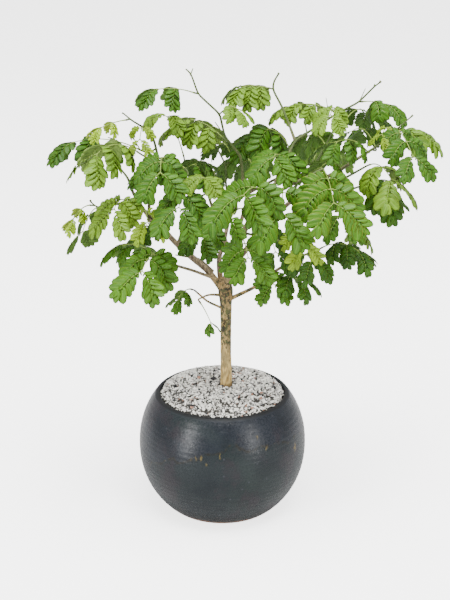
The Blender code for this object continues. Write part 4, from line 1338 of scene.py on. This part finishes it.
def stalk_lines(line, leaves, ribs):
    # Bars of a frond: its own stalk and rib, then the rib of each side leaf.
    start, bend, tip = line[:3]
    points = []
    sizes = []
    for step in range(STALK_PARTS + 1):
        points.append(curve_point(start, bend, tip, LAST_PAIR_AT * step / STALK_PARTS))
        swell = 1.0 + STALK_SWELL * math.exp(-step / STALK_SWELL_STEPS)
        sizes.append(STALK_RADIUS * swell * (1.0 - STALK_TAPER * step / STALK_PARTS))
    points[0] = points[0] - curve_tangent(start, bend, tip, 0.0) * STALK_SINK
    lines = [(points, sizes)]
    keep = int(RIB_PARTS * SIDE_STALK_SHARE)
    for leaf, rib in zip(leaves, ribs):
        path = rib[0]
        root = leaf["root"] - (path[1] - path[0]) * SIDE_STALK_SINK
        root = root - unit(leaf["heading"]) * STALK_HALF
        sizes = [SIDE_STALK_RADIUS * (SIDE_STALK_SWELL if i < 2 else 1.0)
                 * (1.0 - SIDE_STALK_TAPER * i / keep) for i in range(keep + 2)]
        lines.append(([root, *path[:keep + 1]], sizes))
    return lines


def leaflets_of(rng, leaf, rib, ways, across, young):
    # Where each leaflet of a side leaf lies, and its size, folds and shade.
    span = leaf["span"]
    full = leaf["half"] * LEAFLET_LENGTH
    pairs = max(LEAST_PAIRS, 1 + int(round(LEAFLETS_OVER * span / (LEAFLET_SPACING * full))))
    twist = math.radians(LEAF_TWIST) * (rng.random() - 0.5)
    found = []
    for pair in range(pairs):
        share = pair / (pairs - 1)
        s = span * (LEAFLETS_FROM + LEAFLETS_OVER * share)
        place, way = rib_place(rib, ways, span, s)
        wide, face_up = lie_of(way, across, leaf["hand"], leaf["tilt"] + twist * share)
        angle = LEAFLET_TURN - LEAFLET_TURN_FALL * share
        rise = math.sin(math.pi * min(1.0, share * LEAFLET_RISE_PACE) * 0.5)
        grow = FIRST_LEAFLET_SIZE + LEAFLET_SIZE_RISE * rise
        if pair == pairs - 1:
            angle = END_LEAFLET_TURN
            grow = END_LEAFLET_SIZE
        for edge in (-1.0, 1.0):
            turn = math.radians(angle + LEAFLET_TURN_SPREAD * (rng.random() - 0.5))
            size = full * grow * (1.0 + LEAFLET_SIZE_SPREAD * (rng.random() - 0.5))
            if edge > 0.0:
                # The inner leaflets of an end pair leave room for those of the other hand.
                reach = s + 0.5 * size * math.cos(turn)
                room = max(LEAST_ROOM, reach * leaf["inner"] - ROOM_GAP)
                size = min(size, room / max(LEAST_SLANT, math.sin(turn)))
            if young:
                size *= YOUNG_SIZE
            out = wide * edge
            heading = unit(way * math.cos(turn) + out * math.sin(turn) - face_up * LEAFLET_DROOP)
            side = unit(np.cross(face_up, heading))
            # Leaflets overlap like shingles: the front edge of each lies a little lower.
            shingle = math.radians(SHINGLE + SHINGLE_SPREAD * (rng.random() - 0.5)) * edge
            side = side * math.cos(shingle) + np.cross(heading, side) * math.sin(shingle)
            found.append(dict(
                origin=place - out * LEAFLET_INSET, way=heading, side=side,
                face_up=np.cross(heading, side), length=size,
                wide=size * (YOUNG_WIDTH if young else LEAFLET_WIDTH),
                fold=(YOUNG_FOLD if young else LEAFLET_FOLD) + FOLD_SPREAD * rng.random(),
                sag=LEAFLET_SAG + SAG_SPREAD * rng.random(),
                shade=rng.random() * 2.0 - 1.0, wobble=rng.random() - 0.5))
    return found


def make_frond(index, frond, line, leaves, shape, coords, looks):
    rng = random.Random(FROND_SEED + index)
    name, colour = frond[0], frond[7]
    ribs = [side_rib(leaf, RIB_PARTS) for leaf in leaves]
    work = bmesh.new()
    layers = work.verts.layers.float
    shade_layer, edge_layer, stalk_layer = [layers.new(key) for key in ("shade", "edge", "stalk")]
    work.loops.layers.uv.new("leaf_uv")
    stalks = tube_mesh(stalk_lines(line, leaves, ribs), TWIG_ROUNDING)
    work.from_mesh(stalks)
    bpy.data.meshes.remove(stalks)
    for vert in work.verts:
        vert[stalk_layer] = 1.0
    frond_shade = FROND_SHADES * wave(index, 77.0)
    for leaf, rib in zip(leaves, ribs):
        for leaflet in leaflets_of(rng, leaf, *rib, colour == "young"):
            shade = frond_shade + LEAFLET_SHADES * leaflet.pop("shade")
            count = len(work.verts)
            work.from_mesh(shape)
            work.verts.ensure_lookup_table()
            for vert, spot in zip(work.verts[count:], leaflet_points(coords, **leaflet)):
                vert.co = Vector(spot) * MM
                vert[shade_layer] = shade
                vert[edge_layer] = YELLOW_EDGES.get(name, USUAL_EDGE)
    made = put_object("leaves_" + name, mesh_of(work, "leaves_" + name), looks[colour])
    finish_piece(made, "frond_" + name)


def make_fronds(starts):
    pattern = leaf_pattern()
    looks = {key: leaf_look(key, pattern) for key in LEAF_COLOURS}
    shape, coords = leaflet_shape()
    for index, (frond, start) in enumerate(zip(FRONDS, starts)):
        line, leaves = settled_frond(index, frond, start)
        make_frond(index, frond, line, leaves, shape, coords, looks)
    bpy.data.meshes.remove(shape)


# Stage

def make_floor():
    work = bmesh.new()
    bmesh.ops.create_grid(work, x_segments=1, y_segments=1, size=FLOOR_HALF)
    look, nodes, shader = new_look("paper_floor")
    # White paper for the camera, without throwing that light up at the plant.
    seen = nodes.add("LightPath").outputs["Is Camera Ray"]
    glow = nodes.plus(nodes.times(seen, FLOOR_WHITE), FLOOR_GLOW)
    values = (("Roughness", 0.9), ("Specular IOR Level", 0.1), ("Emission Color", (1.0, 1.0, 1.0)),
              ("Emission Strength", glow), ("Base Color", nodes.mix(seen, FLOOR_UNSEEN, FLOOR_SEEN)))
    for name, value in values:
        nodes.put(shader.inputs[name], value)
    floor = put_object("floor", mesh_of(work, "floor"), look)


def make_lights():
    world = bpy.data.worlds.new("studio")
    world.use_nodes = True
    sky = world.node_tree.nodes["Background"]
    sky.inputs["Color"].default_value = (*SKY_COLOUR, 1.0)
    sky.inputs["Strength"].default_value = SKY_LIGHT
    bpy.context.scene.world = world
    for name, place, wide, tall, power in LAMPS:
        lamp = bpy.data.lights.new(name, "AREA")
        lamp.shape = "RECTANGLE"
        lamp.size = wide
        lamp.size_y = tall
        lamp.energy = power
        item = put_object(name, lamp)
        item.location = place
        aim = Vector(LAMP_AIM) - Vector(place)
        item.rotation_euler = aim.to_track_quat("-Z", "Y").to_euler()


def make_camera():
    camera = bpy.data.cameras.new("camera")
    camera.sensor_width = CAMERA_SENSOR
    camera.lens = CAMERA_LENS
    item = put_object("camera", camera)
    item.location = CAMERA_PLACE
    item.rotation_euler = (math.radians(90.0 - CAMERA_PITCH), 0.0, 0.0)
    bpy.context.scene.camera = item


def main():
    frame["nodes"]["soil"].material_slots[0].material = soil_look()
    make_pot()
    make_bed()
    make_chips()
    samples = limb_samples()
    roots = [rooted(frond, samples) for frond in FRONDS]
    make_wood(roots)
    make_fronds([root[1] for root in roots])
    make_floor()
    make_lights()
    make_camera()


main()
